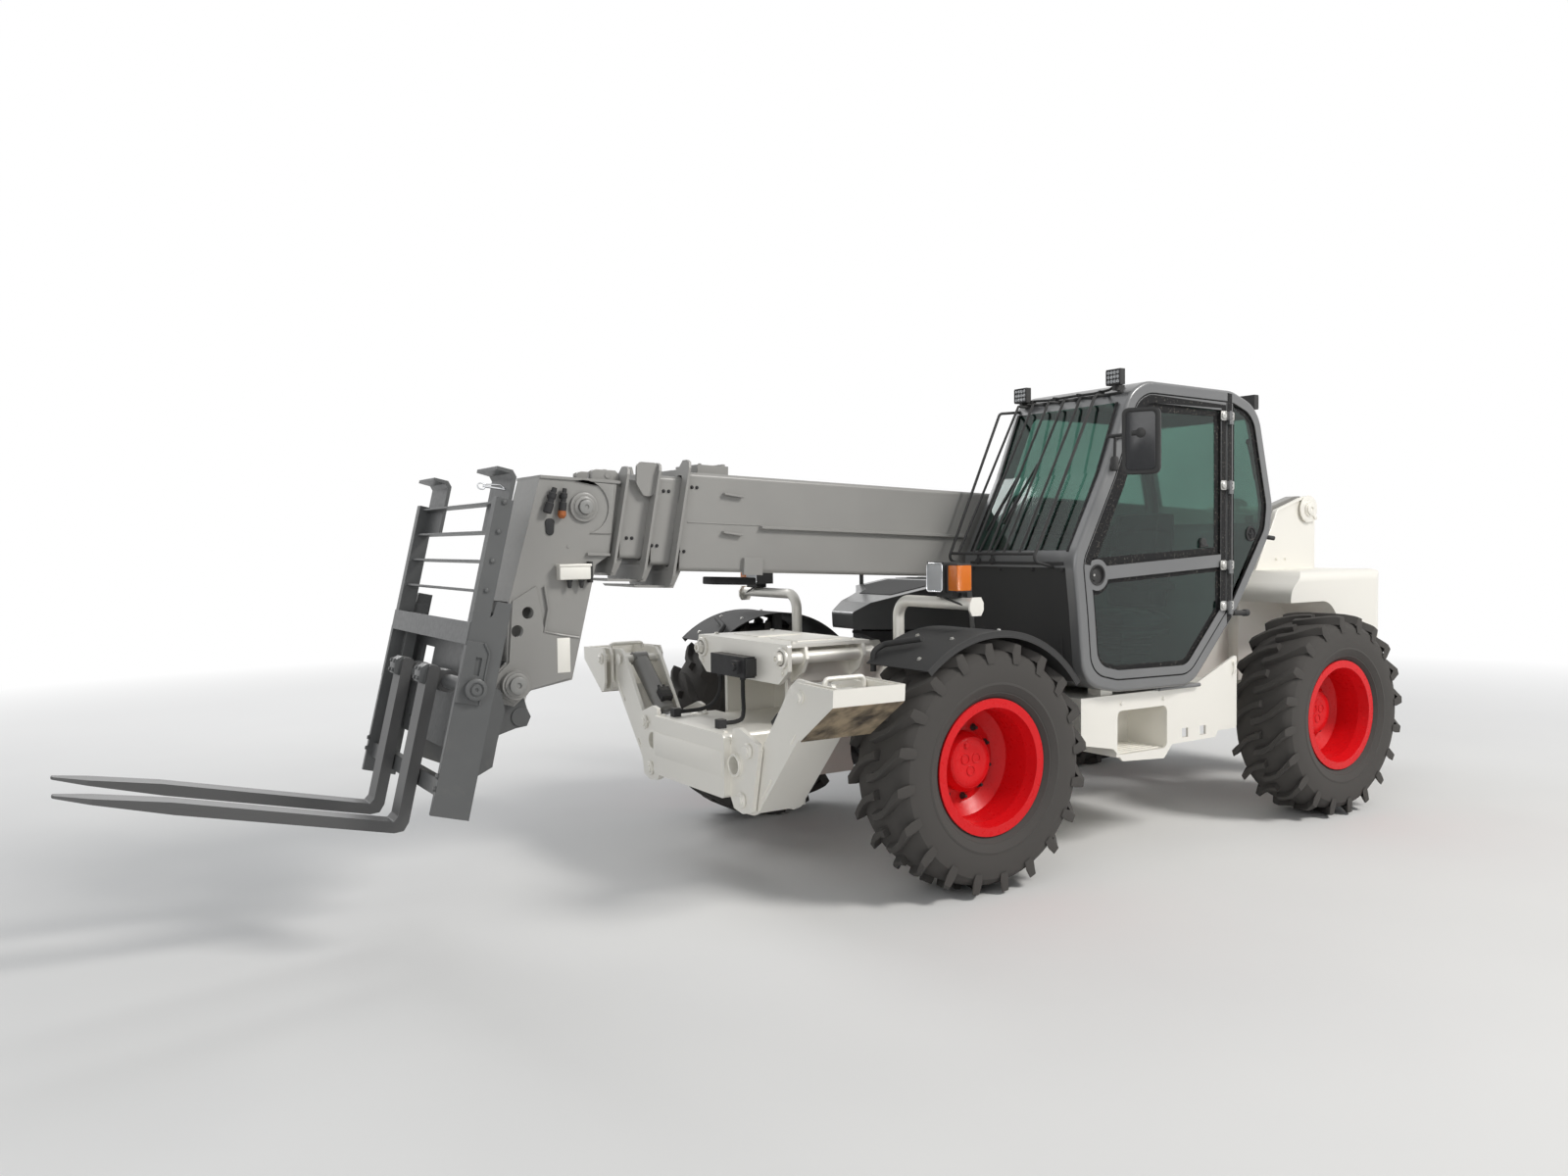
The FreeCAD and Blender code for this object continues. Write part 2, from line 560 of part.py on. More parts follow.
def front_bracket():
    """Attachment bracket on the frame front: plates, top cover and two tubes."""
    x1, half, top = BRACKET_X, FRAME_HALF + 140, FRAME_TOP + 86
    plate = prism_x([(-half, top), (half, top), (half, top - 136), (half - 90, top - 206),
                     (90 - half, top - 206), (-half, top - 136)], x1, x1 + BRACKET_T, 14)
    cover = box(x1 - 495, x1 + 4, 15 - half, half - 15, top - 18, top)
    tubes = [bar_x(s * (half - 51), top - 70, 34, x1 - 535, x1 + 44) for s in (1, -1)]
    hangers = [prism_x([(s * FRAME_HALF, top - 16), (s * (half - 15), top - 16),
                        (s * half, top - 76), (s * (half - 40), top - 146),
                        (s * FRAME_HALF, top - 206)], x, x + 18)
               for s in (1, -1) for x in (x1 - 460, x1 - 105)]
    feet = [box(x1 - 460, x1 - 87, *sorted((s * FRAME_HALF, s * (FRAME_HALF + 14))), top - 206,
                top - 16) for s in (1, -1)]
    return fuse(plate, cover, *tubes, *hangers, *feet)


def hydraulics():
    """Valve box on the bracket and two hose ports on the stabiliser beam."""
    x1 = BRACKET_X + BRACKET_T
    front, low = x1 + VALVE_DEEP, VALVE_LOW
    case = box(x1, front, -210, 150, low, low + 110)
    valve = fuse(box(front - 2, front + 26, 60, 120, low + 24, low + 90),
                 bar_x(90, low + 57, 20, front, front + 40))
    stubs = [bar_z(x1 + 40, y, HOSE_R + 4, low - 14, low + 1) for y, _ in HOSES]
    ports = [box(HOSE_END_X, HOSE_END_X + 44, y - 22, y + 22, BEAM_HIGH - 20, BEAM_HIGH + 26)
             for _, y in HOSES]
    return Part.makeCompound([fuse(case, valve, *stubs), *ports])


def hoses():
    """Two hoses from the valve box down and forward to the ports on the beam."""
    x0, z0, z1 = BRACKET_X + BRACKET_T + 40, VALVE_LOW - 14, BEAM_HIGH + 4
    run = HOSE_END_X - x0
    lines = []
    for start, end in HOSES:
        reach = end - start
        lines.append(tube_path([
            V(x0, start, z0), V(x0, start, z0 - 80),
            V(x0 + 0.09 * run, start + 0.29 * reach, z0 - 150),
            V(x0 + 0.31 * run, start + 0.75 * reach, z0 - 188),
            V(x0 + 0.61 * run, end, z1), V(HOSE_END_X, end, z1)], HOSE_R))
    return Part.makeCompound(lines)


# Boom

def boom_local(points_shape):
    """Put a shape drawn along the boom (x = s, z = t) at its place on the machine."""
    shape = points_shape.copy()
    shape.rotate(V(0, 0, 0), Y_AXIS, -BOOM_TILT)
    shape.translate(V(PIVOT_X, 0, PIVOT_Z))
    return shape


def section_tube(sec):
    """Hollow box section with rounded corners, its front end cut on the slant."""
    solid = bore_block(sec, 0, sec.rear, sec.front + 60)
    void = bore_block(sec, -sec.wall, sec.rear - 10, sec.front + 200)
    slant = prism_y([(sec.front - 10, 200), (sec.front - 10 + 900 * COLLAR_SLANT, -700),
                     (sec.front + 500, -700), (sec.front + 500, 200)], -400, 400)
    return cut(solid, void, slant)


def bore_block(sec, grow, s0, s1):
    """Block of a section's outer shape, grown all round."""
    half, top, bottom = sec.half + grow, sec.top + grow, sec.bottom - grow
    return prism_x([(-half, top), (half, top), (half, bottom), (-half, bottom)], s0, s1, 22)


def pad_zones(sec, grow, s0, s1):
    """Four blocks over the middle of each face of a section."""
    half, top, bottom = sec.half + grow, sec.top + grow, sec.bottom - grow
    mid = (sec.top + sec.bottom) / 2
    flat = sec.half - 45
    return [box(s0, s1, -flat, flat, sec.top - 2, top), box(s0, s1, -flat, flat, bottom, sec.bottom + 2),
            box(s0, s1, sec.half - 2, half, mid - 90, mid + 90),
            box(s0, s1, -half, -sec.half + 2, mid - 90, mid + 90)]


def collar(sec, inside):
    """Slanting end plate round the mouth of a section, with ears, a rim and a tray."""
    half = sec.half + sec.collar
    top, bottom = sec.top + COLLAR_LIFT, sec.bottom - COLLAR_DROP

    def slant(t):
        return sec.front - 10 - (t - 200) * COLLAR_SLANT

    plate = prism_y([(slant(top), top), (slant(bottom), bottom), (slant(bottom) + COLLAR_T, bottom),
                     (slant(top) + COLLAR_T, top)], -half, half)
    trim = prism_x([(-half, top - 40), (-half + 12, top - 12), (-half + 40, top), (-half + 80, top),
                    (-half + 120, sec.top + 16), (half - 120, sec.top + 16), (half - 80, top),
                    (half - 40, top), (half - 12, top - 12), (half, top - 40),
                    (half, bottom + 60), (half - 14, bottom + 14), (half - 60, bottom),
                    (-half + 60, bottom), (-half + 14, bottom + 14), (-half, bottom + 60)],
                   sec.front - 200, sec.front + 300)
    near, far = sec.front - 300, sec.front + 400
    free = bore_block(inside, MOUTH_GAP, near, far).cut(pad_zones(inside, MOUTH_GAP + 1, near, far))
    start, end = slant(bottom), slant(bottom) + sec.tray
    tray = prism_y([(start - 70, sec.bottom + 2), (start + 4, sec.bottom + 2), (start + 4, bottom + 12),
                    (end, bottom + 12), (end - 12, bottom), (start - 30, bottom)], -half + 62,
                   half - 62)
    return cut(fuse(plate.common(trim), tray), free, bore_block(inside, PAD_GAP, near, far))


def rear_pads(sec, housing):
    """Wear pads on the rear end of a section that slide in the section around it."""
    s0, s1 = sec.rear + 20, sec.rear + 120
    room = bore_block(housing, -housing.wall - PAD_GAP, s0 - 10, s1 + 10)
    zones = pad_zones(sec, 60.0, s0, s1)
    return [zone.common(room) for zone in zones]


def boom_outer():
    """Lowest boom section with the pivot lugs, cylinder lugs and end collar."""
    sec = OUTER
    lugs = []
    for s in (1, -1):
        lugs.append(prism_y([(-80, -62), (-96, 0), (-72, 62), (0, 92), (60, 88), (520, -60), (520, -510),
                             (160, -510)], *sorted((s * (sec.half - 10), s * LUG_OUT))))
        lugs.append(prism_y([(EYE_S - 190, sec.bottom + 4), (EYE_S - 74, EYE_T - 30),
                             (EYE_S - 40, EYE_T - 62), (EYE_S + 40, EYE_T - 62),
                             (EYE_S + 74, EYE_T - 30), (EYE_S + 190, sec.bottom + 4)],
                            s * 88 - 15, s * 88 + 15))
    back = box(sec.rear, sec.rear + 14, -sec.half + 4, sec.half - 4, sec.bottom + 4, sec.top - 4)
    cover = cut(box(4600, 4780, -120, 120, sec.top - 4, sec.top + 50),
                box(4612, 4768, -108, 108, sec.top - 8, sec.top + 38))
    tab = box(4448, 4560, sec.half - 2, sec.half + 22, sec.bottom - 12, sec.bottom + 75)
    rail = prism_x([(sec.half - 2, -290), (sec.half + 26, -294), (sec.half + 26, -306),
                    (sec.half - 2, -310)], 3080, 4460)
    body = fuse(section_tube(sec), back, collar(sec, SECOND), cover, tab, rail, *lugs)
    body = cut(body, bar_y(0, 0, PIVOT_R + FIT, -400, 400),
               bar_y(EYE_S, EYE_T, LIFT_PIN_R, -300, 300))
    return boom_local(body)


def boom_middle(sec, inside, housing, *extra):
    """A middle section: box tube, wear pads at its rear end, its collar and what it carries."""
    return boom_local(fuse(section_tube(sec), collar(sec, inside), *rear_pads(sec, housing),
                           *extra))


def hose_guard(sec, inside):
    """Plate with a rounded lower end that stands on the near side of a collar."""
    s0, s1, top = sec.front + 26, inside.front - 6, sec.top + 59
    return prism_y([(s0, top), (s1, top), (s1, top - 105), (s1 - 40, top - 165),
                    (s0 + 32, top - 165), (s0 + 12, top - 105)], inside.half + 21,
                   inside.half + 35, 26)


NOSE_SIDE = [(4335, 2014), (4726, 2034), (4886, 1460), (4905, 1180), (4960, 1135), (4975, 1080),
             (4960, 1025), (4925, 990), (4872, 975), (4790, 1043), (4585, 1079), (4452, 1624),
             (4382, 1668)]


def boom_inner():
    """Innermost section with the dropped nose that carries the fork carriage."""
    tube = boom_local(fuse(section_tube(INNER), *rear_pads(INNER, THIRD)))
    side = prism_y(NOSE_SIDE, NOSE_HALF - NOSE_PLATE, NOSE_HALF)
    doubler = prism_y([(4756, 1530), (4872, 1465), (4895, 1180), (4960, 1120), (4960, 1045),
                       (4872, 985), (4801, 1047), (4590, 1090), (4545, 1280), (4720, 1314)],
                      NOSE_HALF - 2, NOSE_HALF + 10)
    boss = bar_y(TILT_X, TILT_Z, 68, NOSE_HALF - NOSE_PLATE, NOSE_HALF + 44)
    upper = bar_y(NOSE_PIN_X, NOSE_PIN_Z, 58, NOSE_HALF - NOSE_PLATE, NOSE_HALF + 18)
    side = fuse(side, doubler, boss, upper)
    side = cut(side, bar_y(4800, 1407, 28, 0, 400), bar_y(4853, 1324, 28, 0, 400),
               bar_y(TILT_X, TILT_Z, TILT_PIN_R + FIT, 0, 400))
    pin = bar_y(NOSE_PIN_X, NOSE_PIN_Z, 30, -NOSE_HALF - 34, NOSE_HALF + 34)
    top = prism_y([(4318, 2013), (4726, 2034), (4726, 2048), (4318, 2027)], -NOSE_HALF - 8,
                  NOSE_HALF + 8)
    inner = NOSE_HALF - NOSE_PLATE + 1
    front = prism_y([(4700, 2034), (4726, 2034), (4886, 1460), (4860, 1460)], -inner, inner)
    rear = prism_y([(4452, 1624), (4470, 1634), (4603, 1079), (4585, 1079)], -inner, inner)
    shelf = prism_y([(4386, 1664), (4500, 1669), (4500, 1681), (4382, 1676)], -NOSE_HALF - 18,
                    NOSE_HALF + 18)
    return fuse(tube, side, mirror_y(side), pin, top, front, rear, shelf)


# Cylinders: each is drawn along its own line between its two eyes

def along(shape, start, end):
    """Turn a shape drawn along +x so that it runs from start towards end."""
    run = end - start
    shape = shape.copy()
    shape.rotate(V(0, 0, 0), Y_AXIS, -math.degrees(math.atan2(run.z, math.hypot(run.x, run.y))))
    shape.rotate(V(0, 0, 0), Z_AXIS, math.degrees(math.atan2(run.y, run.x)))
    shape.translate(start)
    return shape


def cylinder_barrel(c):
    """Barrel with its base eye at the origin, open at the gland end."""
    root = c.eye_r + c.gap
    side = c.barrel * 0.66
    tube = Part.makeCylinder(c.barrel, c.length - root, V(root - 8, 0, 0), X_AXIS)
    gland = Part.makeCylinder(c.barrel + 8, 60, V(c.length - 66, 0, 0), X_AXIS)
    neck = box(0, root, -c.eye_w / 2 + 12, c.eye_w / 2 - 12, -side, side)
    neck = neck.common(box(0, root, -side, side, -side, side))
    eye = bar_y(0, 0, c.eye_r, -c.eye_w / 2, c.eye_w / 2)
    hole = bar_y(0, 0, c.pin_r + FIT, -c.eye_w, c.eye_w)
    bore = Part.makeCylinder(c.bore, c.length - 60 - root - 20, V(root + 20, 0, 0), X_AXIS)
    mouth = Part.makeCylinder(c.rod_r + FIT, c.length, V(root + 20, 0, 0), X_AXIS)
    return cut(fuse(tube, gland, neck, eye), hole, bore, mouth)


def cylinder_rod(c, reach, pin_r):
    """Rod with its piston inside the barrel and its eye at the given reach."""
    head = reach - c.eye_r - c.gap / 2
    shaft = Part.makeCylinder(c.rod_r, head + 6 - c.seat, V(c.seat, 0, 0), X_AXIS)
    piston = Part.makeCylinder(c.bore - FIT, c.piston, V(c.seat, 0, 0), X_AXIS)
    block = box(head, reach, -c.eye_w / 2 + 10, c.eye_w / 2 - 10, -c.rod_r, c.rod_r)
    eye = bar_y(reach, 0, c.eye_r, -c.eye_w / 2, c.eye_w / 2)
    hole = bar_y(reach, 0, pin_r + FIT, -c.eye_w, c.eye_w)
    return cut(fuse(shaft, piston, block, eye), hole)


# Carriage and forks

def carriage_local(shape):
    """Put a shape drawn along the carriage (x = a, z = b) at its place."""
    shape = shape.copy()
    shape.rotate(V(0, 0, 0), Y_AXIS, -LEAN)
    shape.translate(V(TILT_X, 0, TILT_Z))
    return shape


def carriage():
    """Carriage frame: side plates, bars, rungs, fork shaft, hitch ears and lever."""
    half, t = CARRIAGE_HALF, 25.0
    in_y = half - t
    plate = prism_y([(242, 350), (310, 349), (316, 290), (402, 178), (405, -560), (243, -567)],
                    in_y, half)
    upright = box(325, 400, half - 52, half, 178, 778)
    slot_plate = prism_y([(300, -90), (402, -90), (402, 168), (330, 168), (300, 130)], half, half + 10)
    slot_plate = cut(slot_plate, prism_y([(327, 30), (349, 30), (353, 106), (327, 106)], 0, 900))
    boss = bar_y(SHAFT_A, SHAFT_B, 46, half - 2, half + 34)
    hook = prism_y([(330, 640), (330, 880), (352, 905), (420, 905), (420, 890), (362, 888),
                    (346, 870), (346, 640)], 330, half - 10)
    hitch = prism_y(HITCH_PLATE, HITCH_Y, HITCH_Y + HITCH_T)
    ear_y = NOSE_HALF - NOSE_PLATE - EAR_GAP
    ear = prism_y(PIVOT_EAR, ear_y - HITCH_T, ear_y)
    tie = box(300, 350, 508, 532, -455, 250)
    edge = box(250, 340, in_y - 6, in_y + 2, -480, 300)
    lever = prism_y(LEVER_SHAPE, 52, 76)
    lever_boss = bar_y(LEVER_A, LEVER_B, 44, 52, 82)
    side = [plate, upright, slot_plate, boss, hook, hitch, ear, tie, edge, lever, lever_boss]
    cross = box(384, 404, -half + 2, half - 2, 150, 245)
    rungs = [box(345, 385, -half + 2, half - 2, b, b + 9) for b in (375.0, 502.0, 628.0, 755.0)]
    shaft = bar_y(SHAFT_A, SHAFT_B, SHAFT_R, -half, half)
    low = box(330, 378, -half + 2, half - 2, -490, -420)
    back = box(244, 262, -half + 2, half - 2, -330, 170)
    back = cut(back, *[box(200, 300, *sorted((s * 300, s * 500)), -260, 100) for s in (1, -1)])
    pin = bar_y(0, 0, TILT_PIN_R, -NOSE_HALF - 62, NOSE_HALF + 62)
    return carriage_local(fuse(cross, shaft, low, back, pin, *side, *[mirror_y(p) for p in side],
                               *rungs))


def fork(side):
    """Fork: shank with its eye on the carriage shaft and a tapered blade."""
    y = side * FORK_Y
    w = FORK_W / 2
    back, tip = 386.0, FORK_TIP
    front = back + FORK_T
    profile = [(back, 30), (front, 30), (front, -630), (front + 14, -655), (tip - 400, -655),
               (tip, -676), (tip, -686), (tip - 420, -703), (front + 4, -703), (back + 14, -690),
               (back, -650)]
    blade = prism_y(profile, y - w, y + w, 10)
    taper = prism_z([(300, y - w), (tip - 130, y - w), (tip, y - w + 38), (tip, y + w - 38),
                     (tip - 130, y + w), (300, y + w)], -800, 100, 20)
    blade = blade.common(taper)
    eye = bar_y(SHAFT_A, SHAFT_B, 50, y - 42, y + 42)
    block = box(SHAFT_A, 388, y - 42, y + 42, SHAFT_B - 40, SHAFT_B + 44)
    body = cut(fuse(blade, eye, block), bar_y(SHAFT_A, SHAFT_B, SHAFT_R + FIT, y - 100, y + 100))
    return carriage_local(body)


# Stabiliser arms and feet, drawn for the left side

ARM_SHAPE = [(436, 470), (450, 418), (500, 398), (560, 402), (606, 424), (1000, 868), (1096, 950),
             (1150, 1005), (1160, 1050), (1135, 1090), (960, 1102), (900, 1060)]


def stabiliser_arm():
    """Arm of two side plates with a web along its outer edge and two pins."""
    rear, front = EAR_REAR + EAR_PLATE + 6, EAR_FRONT - 6
    plates = [prism_x(ARM_SHAPE, x, x + 20) for x in (rear, front - 20)]
    web = prism_x([(585, 438), (604, 421), (1002, 869), (985, 886)], rear + 4, front - 2)
    hub = bar_x(ARM_Y, ARM_Z, 46, rear + 2, front - 2)
    ram_pin = bar_x(RAM_Y, RAM_Z, STAB.pin_r, rear - 8, front + 8)
    near, far = rear - 100, front + 100
    body = cut(fuse(*plates, web, hub), bar_x(ARM_Y, ARM_Z, STAB.pin_r + FIT, near, far),
               bar_x(PAD_Y, PAD_Z, PAD_PIN_R + FIT, near, far))
    return fuse(body, ram_pin)


def stabiliser_foot():
    """Foot folded against the arm: two pairs of cheeks, a sole and the foot pin."""
    shape = [(1060, 1100), (1345, 1093), (1339, 1018), (1085, 842), (1052, 850), (1034, 900),
             (1034, 1060)]
    rear, front = BEAM_REAR - 5, BEAM_FRONT
    cheeks = [prism_x(shape, x, x + t) for x, t in ((EAR_FRONT + 2, 18.0), (EAR_REAR + 4, 18.0),
                                                    (rear, 14.0), (front - 14, 14.0))]
    sole = prism_x([(1345, 1093), (1339, 1018), (1085, 842), (1075, 860), (1318, 1030),
                    (1328, 1094)], rear, front)
    return fuse(sole, bar_x(PAD_Y, PAD_Z, PAD_PIN_R, rear + 14, front - 28), *cheeks)


# Cab

def inset(points, d):
    """Offset a clockwise or anticlockwise outline inwards by d."""
    area = sum(points[i - 1][0] * points[i][1] - points[i][0] * points[i - 1][1]
               for i in range(len(points)))
    turn = 1 if area > 0 else -1
    lines = []
    for i in range(len(points)):
        (x0, z0), (x1, z1) = points[i - 1], points[i]
        length = math.hypot(x1 - x0, z1 - z0)
        nx, nz = -(z1 - z0) / length * turn, (x1 - x0) / length * turn
        lines.append((x0 + nx * d, z0 + nz * d, x1 - x0, z1 - z0))
    result = []
    for i in range(len(points)):
        ax, az, adx, adz = lines[i]
        bx, bz, bdx, bdz = lines[(i + 1) % len(points)]
        det = adx * bdz - adz * bdx
        k = ((bx - ax) * bdz - (bz - az) * bdx) / det
        result.append((ax + k * adx, az + k * adz))
    return result


RIGHT_WINDOW = spanned([(1000, 1500), (720, 1760), (705, 1900), (830, 2420), (1700, 2430),
                        (1900, 2000), (2060, 1620), (2060, 1500)])
FRAME_BAND = 62.0
DOOR_T = 38.0
DOOR_RAIL = [(900, 1560), (900, 1630), (2300, 1560), (2300, 1490)]
HANDLE_X, HANDLE_Z, HANDLE_R = span(2070.0), 1530.0, 48.0


def bend(depth):
    """Corner radius of the cab's side outline at a depth inside it."""
    return max(CAB_BEND - depth, 30.0)


def half_plane(x, forward):
    """Large block in front of or behind a cross plane."""
    return box(x, 4000, -3000, 3000, 0, 4000) if forward else box(-3000, x, -3000, 3000, 0, 4000)


def cab_shell():
    """Cab frame: pillars, roof, floor and right wall with the windows cut through."""
    side_open = prism_y(inset(CAB_SIDE, FRAME_BAND), CAB_LEFT - CAB_WALL - 5, CAB_LEFT + 5,
                        bend(FRAME_BAND))
    post = box(HINGE_X - 44, HINGE_X + 4, CAB_LEFT - CAB_WALL, CAB_LEFT, 1150, 2540)
    shell = cut(CAB_SOLID, cab_room(), side_open)
    shell = fuse(shell, post.common(prism_y(inset(CAB_SIDE, 30), 0, CAB_LEFT + 100, bend(30))))
    y0, y1 = CAB_RIGHT + 52, CAB_LEFT - 66
    screen = prism_y(spanned([(2400, 1660), (2100, 1660), (1700, 2440), (2000, 2440)]), y0, y1)
    lower = prism_y(spanned([(2400, 1570), (2100, 1570), (2040, 1010), (2400, 1010)]), y0, y1)
    right_window = prism_y(RIGHT_WINDOW, CAB_RIGHT - 5, CAB_RIGHT + 40, 70)
    rear = prism_y(spanned([(500, 1800), (900, 1800), (1000, 2400), (500, 2400)]), y0 + 8, y1 - 4)
    hinges = []
    for z in DOOR_HINGES:
        hinges.append(bar_z(HINGE_X, HINGE_Y, 11, z - 48, z - 25))
        hinges.append(bar_z(HINGE_X, HINGE_Y, HINGE_PIN_R, z - 40, z + 28))
        hinges.append(box(HINGE_X - 30, HINGE_X, CAB_LEFT - 2, HINGE_Y, z - 48, z - 25))
    return fuse(cut(shell, screen, lower, right_window, rear), *hinges)


def cab_front_panel():
    """Dark panel under the windscreen, set into its opening."""
    panel = prism_y(spanned([(2231, 1570), (2205, 1333), (2177, 1010), (2165, 1010),
                             (2193, 1334), (2219, 1570)]), CAB_RIGHT + 52, CAB_LEFT - 66)
    ribs = [box(span(2120), span(2196), y, y + 12, 1060, 1300)
            for y in (CAB_RIGHT + 120, CAB_LEFT - 140)]
    return fuse(panel, *ribs)


def cab_glass():
    """Windscreen in two flat runs, right, rear and rear quarter panes."""
    def pane(points, trim0=52, trim1=66):
        return prism_y(spanned(points), CAB_RIGHT + trim0, CAB_LEFT - trim1)
    upper = pane([(1842, 2440), (1996, 2067), (1988, 2064), (1834, 2440)])
    lower = pane([(1996, 2067), (2217, 1660), (2208, 1660), (1988, 2064)])
    right = prism_y(RIGHT_WINDOW, CAB_RIGHT + 8, CAB_RIGHT + 14, 70)
    rear = pane([(640, 1800), (634, 1908), (762, 2400), (768, 2400), (641, 1908), (646, 1800)],
                60, 70)
    quarter = prism_y(inset(CAB_SIDE, FRAME_BAND), CAB_LEFT - 16, CAB_LEFT - 10, bend(FRAME_BAND))
    quarter = quarter.common(half_plane(HINGE_X - 44, False))
    return Part.makeCompound([fuse(upper, lower), right, rear, quarter])


def door_outline(grow):
    """Door outline inside the cab's side frame, cut off at the hinge line."""
    depth = FRAME_BAND + CLEAR + grow
    block = prism_y(inset(CAB_SIDE, depth), 0, 10, bend(depth))
    return block.common(half_plane(HINGE_X + 4 + CLEAR + grow, True))


def cab_door():
    """Door frame with an upper and a lower window, a rail, a handle and hinges."""
    def slab(grow, y0, y1):
        shape = door_outline(grow)
        shape.translate(V(0, y0, 0))
        face = [f for f in shape.Faces if abs(f.normalAt(0, 0).y + 1) < 1e-6][0]
        return face.extrude(V(0, y1 - y0, 0))
    frame = slab(0, CAB_LEFT - DOOR_T, CAB_LEFT)
    hole = slab(46, CAB_LEFT - DOOR_T - 5, CAB_LEFT + 5)
    rail = prism_y(spanned(DOOR_RAIL), CAB_LEFT - DOOR_T, CAB_LEFT)
    rail = rail.common(slab(10, CAB_LEFT - DOOR_T, CAB_LEFT))
    hold = bar_y(HANDLE_X, HANDLE_Z, HANDLE_R + 34, CAB_LEFT - DOOR_T, CAB_LEFT)
    hold = hold.common(slab(10, CAB_LEFT - DOOR_T, CAB_LEFT))
    body = fuse(cut(frame, hole), rail, hold)
    body = cut(body, bar_y(HANDLE_X, HANDLE_Z, HANDLE_R, CAB_LEFT - 16, CAB_LEFT + 5))
    knuckles = []
    for z in DOOR_HINGES:
        leaf = box(HINGE_X + 4 + CLEAR, HINGE_X + 60, CAB_LEFT - 2, CAB_LEFT + 6, z - 24, z + 24)
        roll = bar_z(HINGE_X, HINGE_Y, 11, z - 24, z + 24)
        arm = box(HINGE_X, HINGE_X + 14, CAB_LEFT + 2, HINGE_Y, z - 24, z + 24)
        knuckles += [leaf, roll, arm]
    return cut(fuse(body, *knuckles), bar_z(HINGE_X, HINGE_Y, HINGE_PIN_R + FIT, 1000, 2600))


def door_glass():
    """Upper and lower panes of the door."""
    depth = FRAME_BAND + CLEAR + 47
    shape = prism_y(inset(CAB_SIDE, depth), CAB_LEFT - 22, CAB_LEFT - 16, bend(depth))
    shape = shape.common(half_plane(HINGE_X + 5 + CLEAR + 47, True))
    (x0, low0), (_, high0), (x1, high1), (_, low1) = spanned(DOOR_RAIL)
    split = prism_y([(x0, low0 - 1), (x0, high0 + 1), (x1, high1 + 1), (x1, low1 - 1)],
                    CAB_LEFT - 100, CAB_LEFT)
    hold = bar_y(HANDLE_X, HANDLE_Z, HANDLE_R + 35, CAB_LEFT - 100, CAB_LEFT)
    return cut(shape, split, hold)


def cab_room():
    """Space inside the cab's walls."""
    return prism_y(inset(CAB_SIDE, CAB_WALL), CAB_RIGHT + 30, CAB_LEFT - CAB_WALL, bend(CAB_WALL))


def cab_inside():
    """Seat base with cushion and back, seen through the glass."""
    base = box(span(1330), span(1600), 480, 900, 900, 1210)
    cushion = prism_y(spanned([(1220, 1200), (1660, 1200), (1680, 1290), (1640, 1320),
                               (1220, 1300)]), 440, 940)
    back = prism_y(spanned([(1230, 1290), (1350, 1290), (1280, 1900), (1180, 1910),
                            (1140, 1850)]), 450, 930)
    return fuse(base, cushion, back).common(cab_room())


def cab_controls():
    """Dashboard, steering column and steering wheel."""
    y, dish = 690, 26.6
    dash = prism_y(spanned([(1960, 900), (2140, 900), (2180, 1330), (2150, 1400), (1960, 1420)]),
                   420, 960)
    column = rod(V(span(2010), y, 1380), V(span(1880), y, 1640), 30)
    ring = [(172, -10), (186, -13), (199, 0), (186, 13), (172, 10)]
    wheel = fuse(spin_y(ring, 0, 0), box(-180, 180, -6, 6, -12, 12), bar_y(0, 0, 40, -44, 14))
    wheel.rotate(V(0, 0, 0), Y_AXIS, 90)
    wheel.rotate(V(0, 0, 0), X_AXIS, 90)
    wheel.rotate(V(0, 0, 0), Y_AXIS, -dish)
    wheel.translate(V(span(1862), y, 1676))
    return fuse(dash, column, wheel).common(cab_room())


def mirrors():
    """Left mirror on the cab's front pillar, right mirror on a post beside the hood."""
    head = prism_x([(-94, -168), (94, -168), (94, 168), (-94, 168)], -17, 17, 34)
    x, y = span(1985), CAB_LEFT + 215
    left = place(head, x, y, 2210, 30)
    arm = [box(x - 123, x + 19, CAB_LEFT, CAB_LEFT + 14, 2241, 2259),
           rod(V(x + 9, CAB_LEFT + 2, 2250), V(x + 5, y - 5, 2250), 9)]
    right = place(head, x, BAY_SIDE - 235, 1700, -30)
    y = BAY_SIDE - 34
    post = [bar_z(x - 45, y, 14, 1080, 1752),
            rod(V(x - 45, y, 1740), V(x, BAY_SIDE - 230, 1740), 10),
            box(x - 65, x - 25, y - 10, BAY_SIDE, 1060, 1130)]
    return Part.makeCompound([fuse(left, *arm), fuse(right, *post)])


# Equipment on the frame

def lamp_bars():
    """Bent tubes over the front wheels with oval end plates."""
    x, z, end_y = WHEELBASE + 38, LAMP_BAR_Z, TRACK_HALF + 86
    left = tube_path([V(x, FRAME_HALF + 164, FRAME_TOP - 20), V(x, FRAME_HALF + 164, z),
                      V(x, end_y + 4, z)], LAMP_BAR_R, 90)
    oval = [(44, -28), (28, -56), (-28, -56), (-44, -28), (-44, 6), (-28, 34), (28, 34), (44, 6)]
    end = prism_y([(x + dx, z + dz) for dx, dz in oval], end_y, end_y + 12)
    foot = box(x - 50, x + 50, FRAME_HALF, FRAME_HALF + 200, FRAME_TOP - 24, FRAME_TOP - 8)
    return both(fuse(left, end, foot))


